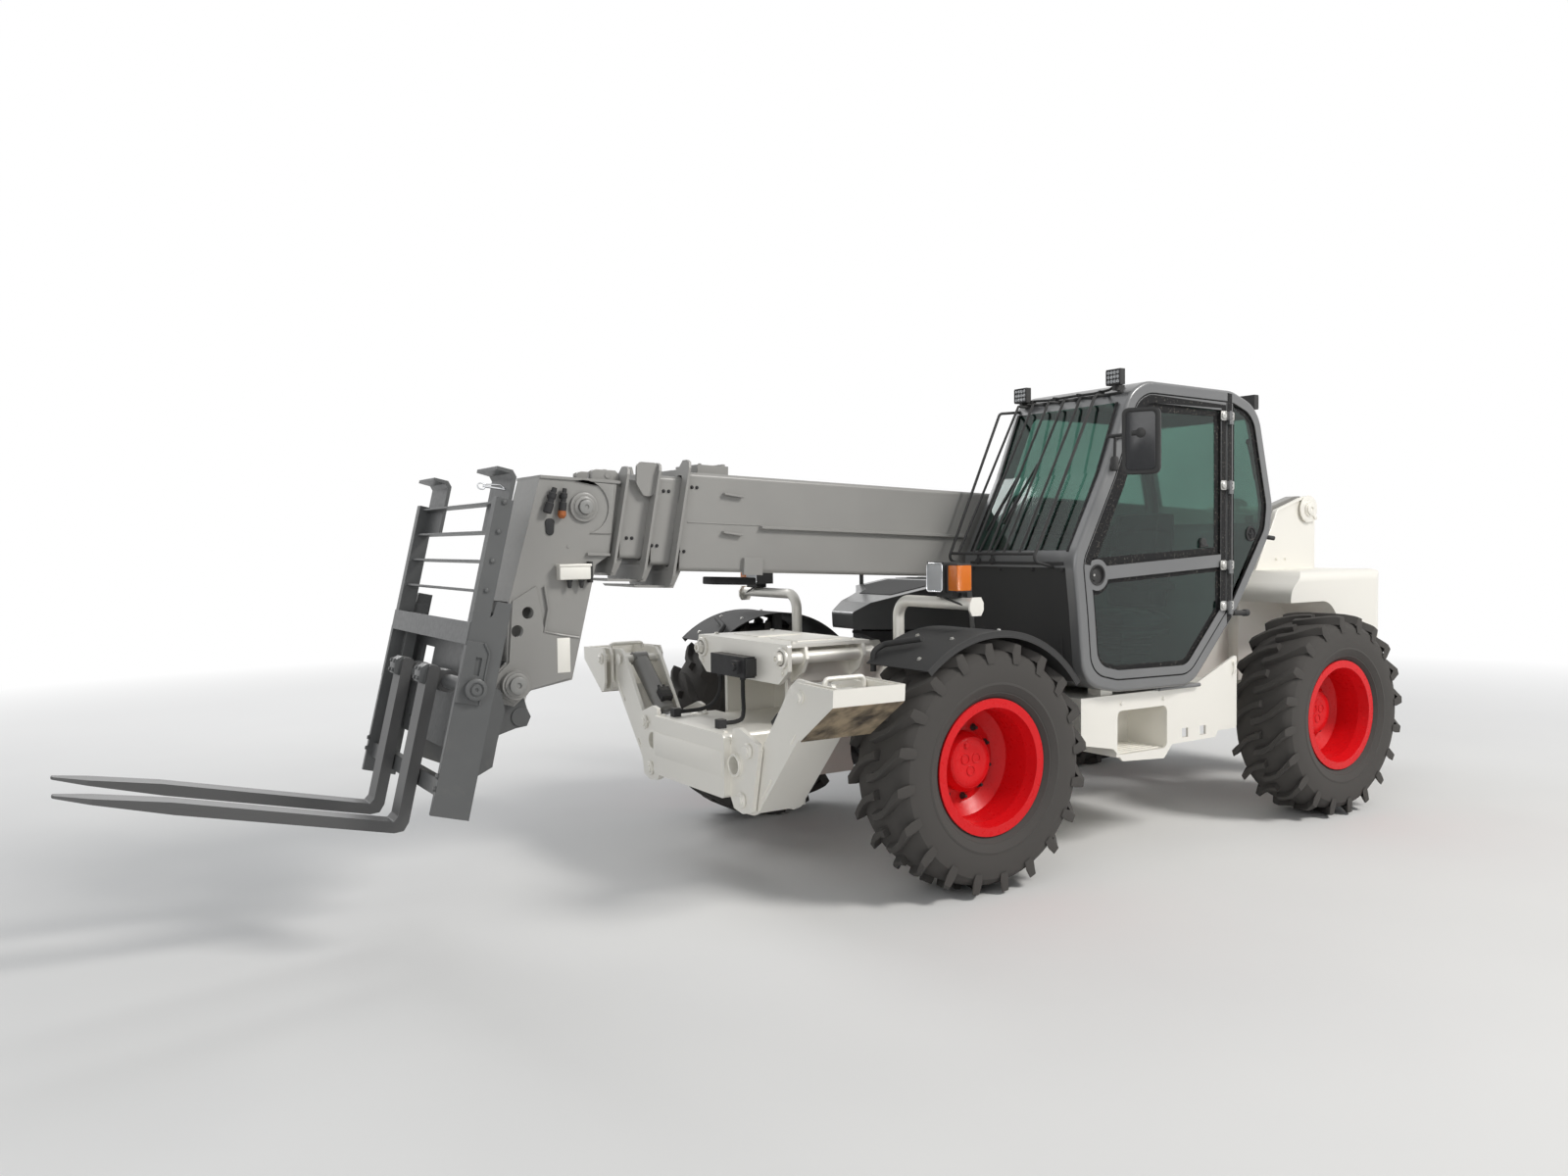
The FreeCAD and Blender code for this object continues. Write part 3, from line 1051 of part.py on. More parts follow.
def lamps():
    """Head and turn lamps on the bars, tail lamps, and square work lamps on the cab roof."""
    x, z, y = WHEELBASE, LAMP_BAR_Z + LAMP_BAR_R + 0.3, TRACK_HALF - 190
    lights = []
    for s in (1, -1):
        head = box(x, x + 110, *sorted((s * y, s * (y + 130))), z + 24, z + 174)
        turn = box(x + 10, x + 100, *sorted((s * (y + 138), s * (y + 220))), z + 28, z + 166)
        foot = box(x + 20, x + 90, *sorted((s * (y + 50), s * (y + 170))), z, z + 30)
        lights.append(fuse(head, turn, foot))
        x1 = TAIL_NICHE[1]
        lights.append(box(x1 - 44, x1, *sorted((s * (TAIL_NICHE[2] + 10), s * (TAIL_NICHE[2] + 115))),
                          TAIL_NICHE[4] + 10, TAIL_NICHE[5] - 10))
    for x, y, z, stand in WORK_LAMPS:
        x0, x1 = sorted((span(x) - stand, span(x) + 16))
        foot = box(x0, x1, y - 10, y + 10, z - 70, z - 38)
        lights.append(fuse(box(span(x) - 18, span(x) + 18, y - 50, y + 50, z - 42, z + 42),
                           cut(foot, CAB_SOLID)))
    return Part.makeCompound(lights)


def engine_bay():
    """Hollow lower casing beside the frame for the engine, with the hood's hinge lugs."""
    far, t = span(2040), 8
    outer = box(BAY_REAR, far, BAY_SIDE, -FRAME_HALF, 560, BAY_TOP)
    inner = box(BAY_REAR + t, far - t, BAY_SIDE + t, -FRAME_HALF + 1, 560 + t, BAY_TOP + 1)
    wide = TRACK_HALF - 290
    tongue = prism_y(spanned([(2030, BAY_TOP), (2520, 1175), (2520, 1160), (2120, 1000),
                              (2030, 1000)]), -wide, -FRAME_HALF)
    plan = spanned([(2030, -wide), (2250, -wide), (2436, -FRAME_HALF - 125),
                    (2520, -FRAME_HALF - 110), (2520, -FRAME_HALF), (2030, -FRAME_HALF)])
    tongue = tongue.common(prism_z(plan, 900, 1300))
    lugs = []
    for y in HOOD_HINGES:
        for y0 in (y - 12 - 20.5, y + 20.5):
            lugs.append(box(HOOD_X - 12, BAY_REAR + 2, y0, y0 + 12, HOOD_Z - 30, HOOD_Z + 10))
        lugs.append(bar_y(HOOD_X, HOOD_Z, HOOD_PIN_R, y - 36, y + 36))
    return fuse(cut(outer, inner), tongue, *lugs)


def hood():
    """Engine hood: sloping shell, narrower in front of the cab's cross line."""
    low, t, far = BAY_TOP + 10, 8.0, -FRAME_HALF - 12
    rear = HOOD_X + 18
    side = spanned([(2580, low + 30), (2590, 1290), (2450, 1345), (1750, 1460)])
    side += [(rear + 80, 1460), (rear, 1400), (rear, low), (span(2040), low)]
    edge, wheel = BAY_SIDE - 10, -TRACK_HALF
    outer = prism_y(side, edge, far, 20)
    inner = prism_y(inset(side, t), edge + t, far - t, 14)
    below = box(rear + t, span(2036), edge + t, far - t, low - 60, low + 20)
    nook = spanned([(2000, edge - 10), (2120, wheel + 110), (2300, wheel + 250),
                    (2700, wheel + 530), (2700, edge - 90), (2000, edge - 90)])
    wall = spanned([(1990, edge), (2114, wheel + 118), (2295, wheel + 258), (2700, wheel + 540),
                    (2700, edge - 90), (1990, edge - 90)])
    shell = cut(outer, prism_z(nook, 1100, 1500))
    shell = cut(shell, cut(inner, prism_z(wall, 1100, 1500)), below)
    hinges = []
    for y in HOOD_HINGES:
        hinges.append(bar_y(HOOD_X, HOOD_Z, 2 * HOOD_PIN_R, y - 20, y + 20))
        hinges.append(box(HOOD_X + 4, rear + 2, y - 20, y + 20, HOOD_Z + 6, low + 50))
    return cut(fuse(shell, *hinges), bar_y(HOOD_X, HOOD_Z, HOOD_PIN_R + FIT, -1100, -300))


def engine_block():
    """Plain block where the engine stands."""
    block = box(BAY_REAR + 20, span(1760), BAY_SIDE + 140, -FRAME_HALF - 90, 640, 1260)
    mounts = [box(x, x + 90, -FRAME_HALF - 100, -FRAME_HALF, 760, 830)
              for x in (BAY_REAR + 100, span(1590))]
    return fuse(block, *mounts)


def screen_guard():
    """Bent guard bars over the windscreen, held by the roof edge and a lower rail."""
    low_x, low_z, top_z = span(2360), 1644, 2487
    far, near, r = CAB_RIGHT + 38, CAB_LEFT - 155, 8
    bars = []
    for i in range(GUARD_BARS):
        y = CAB_RIGHT + 103 + i * GUARD_PITCH
        knee = V(span(1900), y, top_z)
        bars += [rod(V(span(1780), y, top_z), knee, r - 1), rod(knee, V(low_x, y, low_z), r - 1)]
    for y, knee_x, drop in ((far, span(1985), 40), (near, span(1915), 0)):
        bars.append(tube_path([V(span(1780), y, top_z - drop / 2), V(knee_x, y, top_z - drop),
                               V(low_x + 20, y, low_z - 36), V(span(2180), y, low_z - 84)], r, 30))
    rail = bar_y(low_x, low_z, r, far, near)
    return cut(fuse(*bars, rail), CAB_SOLID)


def driveline():
    """Drive shafts from the transfer box to both axles."""
    z, rear_face, front_face = AXLE_Z, span(1180), span(1420)
    front = bar_x(0, z, DRIVE_R, front_face, WHEELBASE - 260)
    rear = bar_x(0, z, DRIVE_R, 260, rear_face)
    return fuse(front, rear, box(rear_face, front_face, -150, 150, z - 100, z + 110))


def place(shape, x, y, z, turn=0.0):
    """Copy of a shape turned about the vertical and moved to a place."""
    shape = shape.copy()
    shape.rotate(V(0, 0, 0), Z_AXIS, turn)
    shape.translate(V(x, y, z))
    return shape


def build():
    """Make and save every piece."""
    save("chassis_frame", chassis_frame())
    save("rear_body", rear_body())
    save("side_step", side_step())
    save("outrigger_beam", outrigger_beam())
    save("front_bracket", front_bracket())
    save("hydraulics", hydraulics())
    save("hoses", hoses())
    save("front_axle", axle(WHEELBASE, -1))
    save("rear_axle", axle(0.0, 1))
    save("driveline", driveline())
    save("engine_bay", engine_bay())
    save("engine_block", engine_block())
    save("hood", hood())
    save("lamp_bars", lamp_bars())
    save("lamps", lamps())
    save("cab_shell", cab_shell())
    save("cab_front_panel", cab_front_panel())
    save("cab_glass", cab_glass())
    save("cab_door", cab_door())
    save("door_glass", door_glass())
    save("seat", cab_inside())
    save("controls", cab_controls())
    save("mirrors", mirrors())
    save("screen_guard", screen_guard())

    tyre_left, tyre_right = tyre(1), tyre(-1)
    rim_left, knuckle_left = rim(), knuckle()
    fender_left = fender(49.0, 145.0)
    for end, x in (("front", WHEELBASE), ("rear", 0.0)):
        for side, y, shape in (("left", TRACK_HALF, tyre_left), ("right", -TRACK_HALF, tyre_right)):
            save("tyre_%s_%s" % (end, side), place(shape, x, y, AXLE_Z))
        wheel = place(rim_left, x, TRACK_HALF, AXLE_Z)
        save("rim_%s_left" % end, wheel)
        save("rim_%s_right" % end, mirror_y(wheel))
        hub = place(knuckle_left, x, 0, AXLE_Z)
        save("knuckle_%s_left" % end, hub)
        save("knuckle_%s_right" % end, mirror_y(hub))
    cover = place(fender_left, WHEELBASE, 0, AXLE_Z)
    save("fender_left", cover)
    save("fender_right", mirror_y(cover))

    save("boom_outer", boom_outer())
    save("boom_second", boom_middle(SECOND, THIRD, OUTER, hose_guard(SECOND, THIRD)))
    save("boom_third", boom_middle(THIRD, INNER, SECOND))
    save("boom_inner", boom_inner())

    eye = boom_local(Part.Vertex(EYE_S, 0, EYE_T)).Point
    base = V(LIFT_BASE_X, 0, LIFT_BASE_Z)
    save("lift_barrel", along(cylinder_barrel(LIFT), base, eye))
    save("lift_rod", along(cylinder_rod(LIFT, (eye - base).Length, LIFT_PIN_R), base, eye))
    base, eye = V(NOSE_PIN_X, 0, NOSE_PIN_Z), V(LEVER_X, 0, LEVER_Z)
    save("tilt_barrel", along(cylinder_barrel(TILT), base, eye))
    save("tilt_rod", along(cylinder_rod(TILT, (eye - base).Length, LEVER_PIN_R), base, eye))
    save("carriage", carriage())
    save("fork_left", fork(1))
    save("fork_right", fork(-1))

    base, eye = V(STAB_X, RAM_Y, RAM_Z), V(STAB_X, EAR_Y, EAR_Z)
    pieces = {
        "stabiliser_arm": stabiliser_arm(),
        "stabiliser_foot": stabiliser_foot(),
        "stabiliser_barrel": along(cylinder_barrel(STAB), base, eye),
        "stabiliser_rod": along(cylinder_rod(STAB, (eye - base).Length, STAB.pin_r), base, eye),
    }
    for name, shape in pieces.items():
        save(name + "_left", shape)
        save(name + "_right", mirror_y(shape))


build()
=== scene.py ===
"""Finishes and fitted pieces for the telehandler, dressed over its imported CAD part.

Sizes in the tables are millimetres on the machine: x runs forward from the rear
axle, y to the machine's left and z up from the ground.
"""
import json
import logging
import math
from dataclasses import dataclass, field
from enum import Enum
from typing import Callable, Iterable, Sequence

import bmesh
import bpy
from mathutils import Matrix, Vector, noise

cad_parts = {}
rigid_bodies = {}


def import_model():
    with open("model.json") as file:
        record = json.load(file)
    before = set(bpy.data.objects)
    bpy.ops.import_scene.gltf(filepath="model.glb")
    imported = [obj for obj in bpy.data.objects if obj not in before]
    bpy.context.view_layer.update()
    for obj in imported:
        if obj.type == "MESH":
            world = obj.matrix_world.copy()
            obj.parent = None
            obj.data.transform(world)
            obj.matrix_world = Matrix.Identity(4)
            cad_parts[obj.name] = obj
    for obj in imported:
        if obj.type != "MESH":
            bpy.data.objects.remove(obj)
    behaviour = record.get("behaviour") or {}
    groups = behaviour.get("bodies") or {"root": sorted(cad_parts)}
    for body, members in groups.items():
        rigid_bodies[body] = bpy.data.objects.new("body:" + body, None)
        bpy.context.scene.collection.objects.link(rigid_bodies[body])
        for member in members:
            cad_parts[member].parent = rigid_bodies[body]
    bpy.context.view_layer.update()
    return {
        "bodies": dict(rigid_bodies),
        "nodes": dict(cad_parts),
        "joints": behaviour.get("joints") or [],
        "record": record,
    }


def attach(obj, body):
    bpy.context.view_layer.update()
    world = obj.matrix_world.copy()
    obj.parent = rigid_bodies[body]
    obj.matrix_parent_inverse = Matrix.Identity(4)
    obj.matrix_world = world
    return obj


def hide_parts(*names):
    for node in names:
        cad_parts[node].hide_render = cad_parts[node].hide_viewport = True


log = logging.getLogger("telehandler")

Point = Sequence[float]
Flat = Sequence[float]
Colour = tuple[float, float, float]

MACHINE_MID = 2790.0
BOOM_PIVOT = (-900, 0, 1910)
BOOM_SLOPE = math.radians(2.4)
TILT_PIN = (4872, 0, 1078)
CARRIAGE_RAKE = math.radians(13)
SHARP_ANGLE = math.radians(32)
BEVEL_ANGLE = 0.6
BOUND = 0.49

AHEAD, LEFT, UP = (1, 0, 0), (0, 1, 0), (0, 0, 1)
SIDES = (("left", 1.0), ("right", -1.0))


class Axis(Enum):
    """Direction in which an outline is extruded or turned."""

    X = 0
    Y = 1
    Z = 2


def machine_space() -> Matrix:
    """Matrix from machine millimetres to the part's metres."""
    return Matrix.Scale(0.001, 4) @ Matrix.Translation((-MACHINE_MID, 0, 0))


def boom_space() -> Matrix:
    """Matrix from millimetres along the boom (s, y, t) to the part's metres."""
    turn = Matrix.Rotation(-BOOM_SLOPE, 4, "Y")
    return machine_space() @ Matrix.Translation(BOOM_PIVOT) @ turn


def carriage_space() -> Matrix:
    """Matrix from millimetres on the carriage (a, y, b) to the part's metres."""
    turn = Matrix.Rotation(-CARRIAGE_RAKE, 4, "Y")
    return machine_space() @ Matrix.Translation(TILT_PIN) @ turn


def line_space(start: Point, end: Point) -> Matrix:
    """Matrix from millimetres along a cylinder to the part's metres.

    Args:
        start: Base eye on the machine.
        end: Rod eye on the machine.

    Returns:
        Matrix whose x runs from start towards end.
    """
    run = Vector(end) - Vector(start)
    turn = run.to_track_quat("X", "Z").to_matrix().to_4x4()
    return machine_space() @ Matrix.Translation(start) @ turn


def linked(name: str, data: bpy.types.ID) -> bpy.types.Object:
    """New object in the scene, with its mesh, lamp or camera."""
    made = bpy.data.objects.new(name, data)
    bpy.context.scene.collection.objects.link(made)
    return made


# Finishes


class Nodes:
    """A material's node tree with short ways to add and join nodes."""

    def __init__(self, name: str) -> None:
        """Start an empty node material with its output and principled shader."""
        self.material = bpy.data.materials.new(name)
        self.material.use_nodes = True
        self.tree = self.material.node_tree
        self.shader = self.tree.nodes["Principled BSDF"]
        self.place = self.add("ShaderNodeTexCoord").outputs["Object"]

    def add(self, kind: str) -> bpy.types.Node:
        """Add a node of a kind."""
        return self.tree.nodes.new(kind)

    def join(self, source: bpy.types.NodeSocket, target: bpy.types.NodeSocket) -> None:
        """Link two sockets."""
        self.tree.links.new(source, target)

    def noise(self, scale: float, detail: float = 4.0,
              stretch: Point = (1, 1, 1)) -> bpy.types.NodeSocket:
        """Noise value over the object.

        Args:
            scale: Features per metre.
            detail: Octaves.
            stretch: Scale factors along x, y and z.

        Returns:
            The value socket.
        """
        mapping = self.add("ShaderNodeMapping")
        mapping.inputs["Scale"].default_value = stretch
        self.join(self.place, mapping.inputs["Vector"])
        noise = self.add("ShaderNodeTexNoise")
        noise.inputs["Scale"].default_value = scale
        noise.inputs["Detail"].default_value = detail
        self.join(mapping.outputs["Vector"], noise.inputs["Vector"])
        return noise.outputs["Fac"]

    def ramp(self, value: bpy.types.NodeSocket, low: float, high: float,
             out_low: float = 0.0, out_high: float = 1.0) -> bpy.types.NodeSocket:
        """Map a value from one range to another, clamped."""
        node = self.add("ShaderNodeMapRange")
        for slot, number in zip(("From Min", "From Max", "To Min", "To Max"),
                                (low, high, out_low, out_high)):
            node.inputs[slot].default_value = number
        self.join(value, node.inputs["Value"])
        return node.outputs["Result"]

    def times(self, a: bpy.types.NodeSocket, b: bpy.types.NodeSocket) -> bpy.types.NodeSocket:
        """Product of two values."""
        node = self.add("ShaderNodeMath")
        node.operation = "MULTIPLY"
        self.join(a, node.inputs[0])
        self.join(b, node.inputs[1])
        return node.outputs[0]

    def blend(self, factor: bpy.types.NodeSocket, a: "Colour | bpy.types.NodeSocket",
              b: "Colour | bpy.types.NodeSocket") -> bpy.types.NodeSocket:
        """Mix two colours, each a tuple or a socket."""
        node = self.add("ShaderNodeMix")
        node.data_type = "RGBA"
        self.join(factor, node.inputs[0])
        for socket, colour in ((node.inputs[6], a), (node.inputs[7], b)):
            if isinstance(colour, tuple):
                socket.default_value = (*colour, 1.0)
            else:
                self.join(colour, socket)
        return node.outputs[2]

    def facing_up(self) -> bpy.types.NodeSocket:
        """How far the surface faces the sky, 0 to 1."""
        geometry = self.add("ShaderNodeNewGeometry")
        split = self.add("ShaderNodeSeparateXYZ")
        self.join(geometry.outputs["Normal"], split.inputs[0])
        return self.ramp(split.outputs["Z"], 0.55, 0.98)

    def height(self, low: float, high: float) -> bpy.types.NodeSocket:
        """1 at the low height and 0 at the high one, in metres above the ground."""
        split = self.add("ShaderNodeSeparateXYZ")
        self.join(self.place, split.inputs[0])
        return self.ramp(split.outputs["Z"], low, high, 1.0, 0.0)

    def bump(self, value: bpy.types.NodeSocket, strength: float, depth: float,
             edge: float = 0.0) -> None:
        """Bump the shader by a value, over edges rounded by a bevel of that radius."""
        node = self.add("ShaderNodeBump")
        node.inputs["Strength"].default_value = strength
        node.inputs["Distance"].default_value = depth
        self.join(value, node.inputs["Height"])
        if edge > 0:
            bevel = self.add("ShaderNodeBevel")
            bevel.samples = 4
            bevel.inputs["Radius"].default_value = edge
            self.join(bevel.outputs["Normal"], node.inputs["Normal"])
        self.join(node.outputs["Normal"], self.shader.inputs["Normal"])

    def set(self, **values: "float | bpy.types.NodeSocket") -> None:
        """Give the shader's own sockets plain numbers, or join other sockets to them."""
        for name, value in values.items():
            socket = self.shader.inputs[name.replace("_", " ")]
            if isinstance(value, bpy.types.NodeSocket):
                self.join(value, socket)
            else:
                socket.default_value = value


DUST: Colour = (0.36, 0.33, 0.28)


@dataclass(frozen=True)
class Paint:
    """Sprayed paint with soft mottling, settled dust and splashes low down."""

    name: str
    slot: str
    colour: Colour
    shade: Colour
    roughness: float = 0.38
    metallic: float = 0.0
    coat: float = 0.15
    dust: float = 0.35
    splash: float = 0.3
    peel: float = 0.05
    edge: float = 0.003
    gloss: float = 0.4
    mottle: float = 1.7

    def build(self) -> bpy.types.Material:
        """Make the material."""
        n = Nodes(self.name)
        cloud = n.ramp(n.noise(self.mottle, 6.0), 0.35, 0.68)
        fine = n.noise(42.0, 5.0)
        base = n.blend(cloud, self.colour, self.shade)
        settled = n.times(n.facing_up(), n.ramp(fine, 0.42, 0.72, 0.25 * self.dust, self.dust))
        base = n.blend(settled, base, DUST)
        mud = n.times(n.height(0.15, 1.0), n.ramp(n.noise(9.0, 8.0), 0.5, 0.72, 0.0, self.splash))
        base = n.blend(mud, base, DUST)
        rough = n.ramp(fine, 0.3, 0.7, self.roughness - 0.03, self.roughness + 0.07)
        n.set(Base_Color=base, Roughness=rough, Metallic=self.metallic, Coat_Weight=self.coat,
              Coat_Roughness=0.22, Specular_IOR_Level=self.gloss)
        n.bump(n.noise(260.0, 2.0), self.peel, 0.001, self.edge)
        return n.material


@dataclass(frozen=True)
class Steel:
    """Bare or worn metal with drawn scratches and darker patches."""

    name: str
    slot: str
    colour: Colour
    worn: Colour
    roughness: float = 0.34
    metallic: float = 0.9
    wear: float = 0.6
    grain: Point = (3, 60, 60)

    def build(self) -> bpy.types.Material:
        """Make the material."""
        n = Nodes(self.name)
        patches = n.ramp(n.noise(7.0, 9.0), 0.45, 0.62, 0.0, self.wear)
        scratches = n.noise(6.0, 9.0, self.grain)
        base = n.blend(patches, self.colour, self.worn)
        base = n.blend(n.ramp(scratches, 0.55, 0.72, 0.0, 0.4), base, self.worn)
        rough = n.ramp(scratches, 0.3, 0.7, self.roughness - 0.1, self.roughness + 0.16)
        n.set(Base_Color=base, Roughness=rough, Metallic=self.metallic)
        n.bump(scratches, 0.12, 0.001, 0.002)
        return n.material


@dataclass(frozen=True)
class Rubber:
    """Tyre and hose rubber, dusty where it has rolled."""

    name: str
    slot: str
    colour: Colour
    dusty: Colour
    roughness: float = 0.78
    grain: float = 0.25

    def build(self) -> bpy.types.Material:
        """Make the material."""
        n = Nodes(self.name)
        cloud = n.ramp(n.noise(5.0, 8.0), 0.36, 0.7)
        base = n.blend(cloud, self.colour, self.dusty)
        specks = n.ramp(n.noise(90.0, 4.0), 0.58, 0.75, 0.0, 0.35)
        rough = n.ramp(cloud, 0.0, 1.0, self.roughness - 0.12, self.roughness + 0.1)
        n.set(Base_Color=n.blend(specks, base, DUST), Roughness=rough, Specular_IOR_Level=0.12)
        n.bump(n.noise(320.0, 3.0), self.grain, 0.001, 0.003)
        return n.material


@dataclass(frozen=True)
class Clear:
    """Tinted glass or a moulded lens."""

    name: str
    slot: str
    colour: Colour
    roughness: float = 0.02
    transmission: float = 1.0
    ribs: float = 0.0

    def build(self) -> bpy.types.Material:
        """Make the material."""
        n = Nodes(self.name)
        haze = n.ramp(n.noise(2.5, 5.0), 0.35, 0.75)
        base = n.blend(haze, self.colour, tuple(0.86 * c for c in self.colour))
        rough = n.ramp(n.noise(14.0, 6.0), 0.45, 0.8, self.roughness, self.roughness + 0.07)
        n.set(Base_Color=base, Roughness=rough, Transmission_Weight=self.transmission, IOR=1.45)
        if self.ribs > 0:
            wave = n.add("ShaderNodeTexWave")
            wave.bands_direction = "Z"
            wave.inputs["Scale"].default_value = self.ribs
            n.join(n.place, wave.inputs["Vector"])
            n.bump(wave.outputs["Fac"], 0.5, 0.002)
        return n.material


@dataclass(frozen=True)
class Cloth:
    """Woven seat cloth."""

    name: str
    slot: str
    colour: Colour
    thread: Colour

    def build(self) -> bpy.types.Material:
        """Make the material."""
        n = Nodes(self.name)
        weave = n.add("ShaderNodeTexChecker")
        weave.inputs["Scale"].default_value = 420.0
        n.join(n.place, weave.inputs["Vector"])
        base = n.blend(weave.outputs["Fac"], self.colour, self.thread)
        n.set(Base_Color=base, Roughness=0.92, Sheen_Weight=0.25)
        n.bump(n.noise(600.0, 3.0), 0.35, 0.001)
        return n.material


class Finish(Enum):
    """Every finish on the machine."""

    CREAM = Paint("cream_paint", "cream_paint", (0.775, 0.73, 0.64), (0.73, 0.685, 0.60),
                  dust=0.25, splash=0.22)
    BOOM = Paint("boom_paint", "boom_grey", (0.315, 0.31, 0.295), (0.285, 0.28, 0.268),
                 dust=0.2, splash=0.0)
    # Painted shade: the carriage wears the boom's grey, and both colours here are that grey
    # darkened to stand for the shade the carriage sits in.
    CARRIAGE = Paint("carriage_painted_shade", "carriage_grey", (0.115, 0.118, 0.118),
                     (0.09, 0.093, 0.094), roughness=0.42, dust=0.2)
    HITCH = Paint("hitch_paint", "boom_grey", (0.30, 0.30, 0.29), (0.26, 0.26, 0.25))
    CAB = Paint("cab_paint", "cab_grey", (0.195, 0.198, 0.2), (0.17, 0.173, 0.176),
                roughness=0.32, metallic=0.35, coat=0.35, dust=0.2)
    RED = Paint("rim_paint", "rim_red", (0.72, 0.009, 0.013), (0.66, 0.008, 0.012),
                roughness=0.28, coat=0.05, dust=0.0, splash=0.0, peel=0.02, gloss=0.22)
    CAST = Paint("axle_paint", "dark_metal", (0.045, 0.045, 0.047), (0.03, 0.03, 0.031),
                 roughness=0.6, coat=0.0, dust=0.4, peel=0.4, gloss=0.25)
    BLACK = Paint("black_plastic", "black_plastic", (0.022, 0.022, 0.024),
                  (0.016, 0.016, 0.018), roughness=0.5, coat=0.0, dust=0.2, peel=0.3, gloss=0.25)
    GLOSS = Paint("gloss_black", "black_plastic", (0.006, 0.007, 0.01), (0.004, 0.005, 0.007),
                  roughness=0.14, dust=0.04, splash=0.0, peel=0.0)
    RUST = Paint("rust_cap", "dark_metal", (0.42, 0.13, 0.035), (0.30, 0.10, 0.04),
                 roughness=0.6, coat=0.0)
    SOLE = Paint("stained_sole", "cream_paint", (0.34, 0.27, 0.18), (0.05, 0.04, 0.03),
                 roughness=0.85, coat=0.0, peel=0.8, mottle=11.0)
    FORK = Steel("fork_steel", "fork_steel", (0.03, 0.03, 0.029), (0.10, 0.088, 0.075),
                 roughness=0.55, metallic=0.3)
    CHROME = Steel("rod_chrome", "rod_chrome", (0.78, 0.79, 0.8), (0.6, 0.6, 0.6),
                   roughness=0.16, metallic=1.0, wear=0.2)
    ZINC = Steel("zinc_plate", "rod_chrome", (0.55, 0.55, 0.53), (0.35, 0.33, 0.29),
                 roughness=0.36, wear=0.5)
    TYRE = Rubber("tyre_rubber", "tyre_rubber", (0.026, 0.021, 0.016), (0.050, 0.041, 0.031))
    HOSE = Rubber("hose_rubber", "black_plastic", (0.02, 0.02, 0.02), (0.035, 0.033, 0.03),
                  roughness=0.6)
    SEAL = Rubber("rubber_seal", "black_plastic", (0.015, 0.015, 0.016), (0.02, 0.02, 0.02),
                  roughness=0.5, grain=0.1)
    GLASS = Clear("tinted_glass", "glass", (0.25, 0.40, 0.35))
    LENS = Clear("clear_lens", "lamp_lens", (0.74, 0.76, 0.78), roughness=0.05,
                 transmission=0.3, ribs=90.0)
    AMBER = Clear("amber_lens", "lamp_lens", (0.93, 0.22, 0.006), roughness=0.12,
                  transmission=0.12, ribs=140.0)
    RUBY = Clear("red_lens", "lamp_lens", (0.42, 0.01, 0.012), roughness=0.12,
                 transmission=0.25, ribs=140.0)
    CLOTH = Cloth("seat_cloth", "seat_fabric", (0.03, 0.03, 0.033), (0.055, 0.055, 0.06))

    def material(self) -> bpy.types.Material:
        """The finish's material, made on first use."""
        return bpy.data.materials.get(self.value.name) or self.value.build()


# Mesh making


def rounded_path(points: Iterable[Point], bend: float, steps: int = 6) -> list[Vector]:
    """Points along a bar whose corners are bent to a radius.

    Args:
        points: Ends and corners of the bar.
        bend: Radius of each bend.
        steps: Points along each bend.

    Returns:
        The centre line.
    """
    corners = [Vector(p) for p in points]
    line = [corners[0]]
    for before, here, after in zip(corners, corners[1:], corners[2:]):
        u, w = before - here, after - here
        turn = math.pi - u.angle(w)
        reach = min(bend * math.tan(turn / 2), BOUND * u.length, BOUND * w.length)
        start, end = here + u.normalized() * reach, here + w.normalized() * reach
        for i in range(steps + 1):
            k = i / steps
            line.append((1 - k) ** 2 * start + 2 * k * (1 - k) * here + k * k * end)
    line.append(corners[-1])
    return line


def heading(points: Sequence[Vector], i: int, closed: bool) -> Vector:
    """Direction at one point of a line, which may return to its start."""
    before = points[i - 1] if closed or i else points[i]
    after = points[(i + 1) % len(points)] if closed or i < len(points) - 1 else points[i]
    return (after - before).normalized()


def oblong(x0: float, z0: float, x1: float, z1: float) -> list[Flat]:
    """Outline of a rectangle between two corners."""
    return [(x0, z0), (x1, z0), (x1, z1), (x0, z1)]


def spots(centre: Vector, r: float, count: int, start: float) -> list[Vector]:
    """Points spaced round an axis across the machine, from an angle in degrees."""
    angles = (math.radians(360 / count * i + start) for i in range(count))
    return [centre + Vector((r * math.cos(a), 0, r * math.sin(a))) for a in angles]


def inset(points: Sequence[Flat], depth: float) -> list[Vector]:
    """Closed outline moved inwards by a depth."""
    ring = [Vector(p) for p in points]
    area = sum(a.x * b.y - b.x * a.y for a, b in zip(ring, ring[1:] + ring[:1]))
    step = math.copysign(depth, area)
    moved = []
    for i, here in enumerate(ring):
        u = (here - ring[i - 1]).normalized()
        w = (ring[(i + 1) % len(ring)] - here).normalized()
        moved.append(here + Vector((-u.y - w.y, u.x + w.x)) * (step / (1 + u.dot(w))))
    return moved


def rounded(points: Sequence[Flat], radius: float, steps: int = 6) -> list[Vector]:
    """Closed outline with its corners rounded to a radius, as far as its sides allow."""
    ring = [Vector(p) for p in points]
    line = []
    for i, here in enumerate(ring):
        u, w = ring[i - 1] - here, ring[(i + 1) % len(ring)] - here
        half = u.angle(w) / 2
        reach = min(radius / math.tan(half), BOUND * u.length, BOUND * w.length)
        r = reach * math.tan(half)
        start, end = here + u.normalized() * reach, here + w.normalized() * reach
        centre = here + (u.normalized() + w.normalized()).normalized() * (r / math.sin(half))
        for k in range(steps + 1):
            way = (start - centre).lerp(end - centre, k / steps).normalized()
            line.append(centre + way * r)
    return line


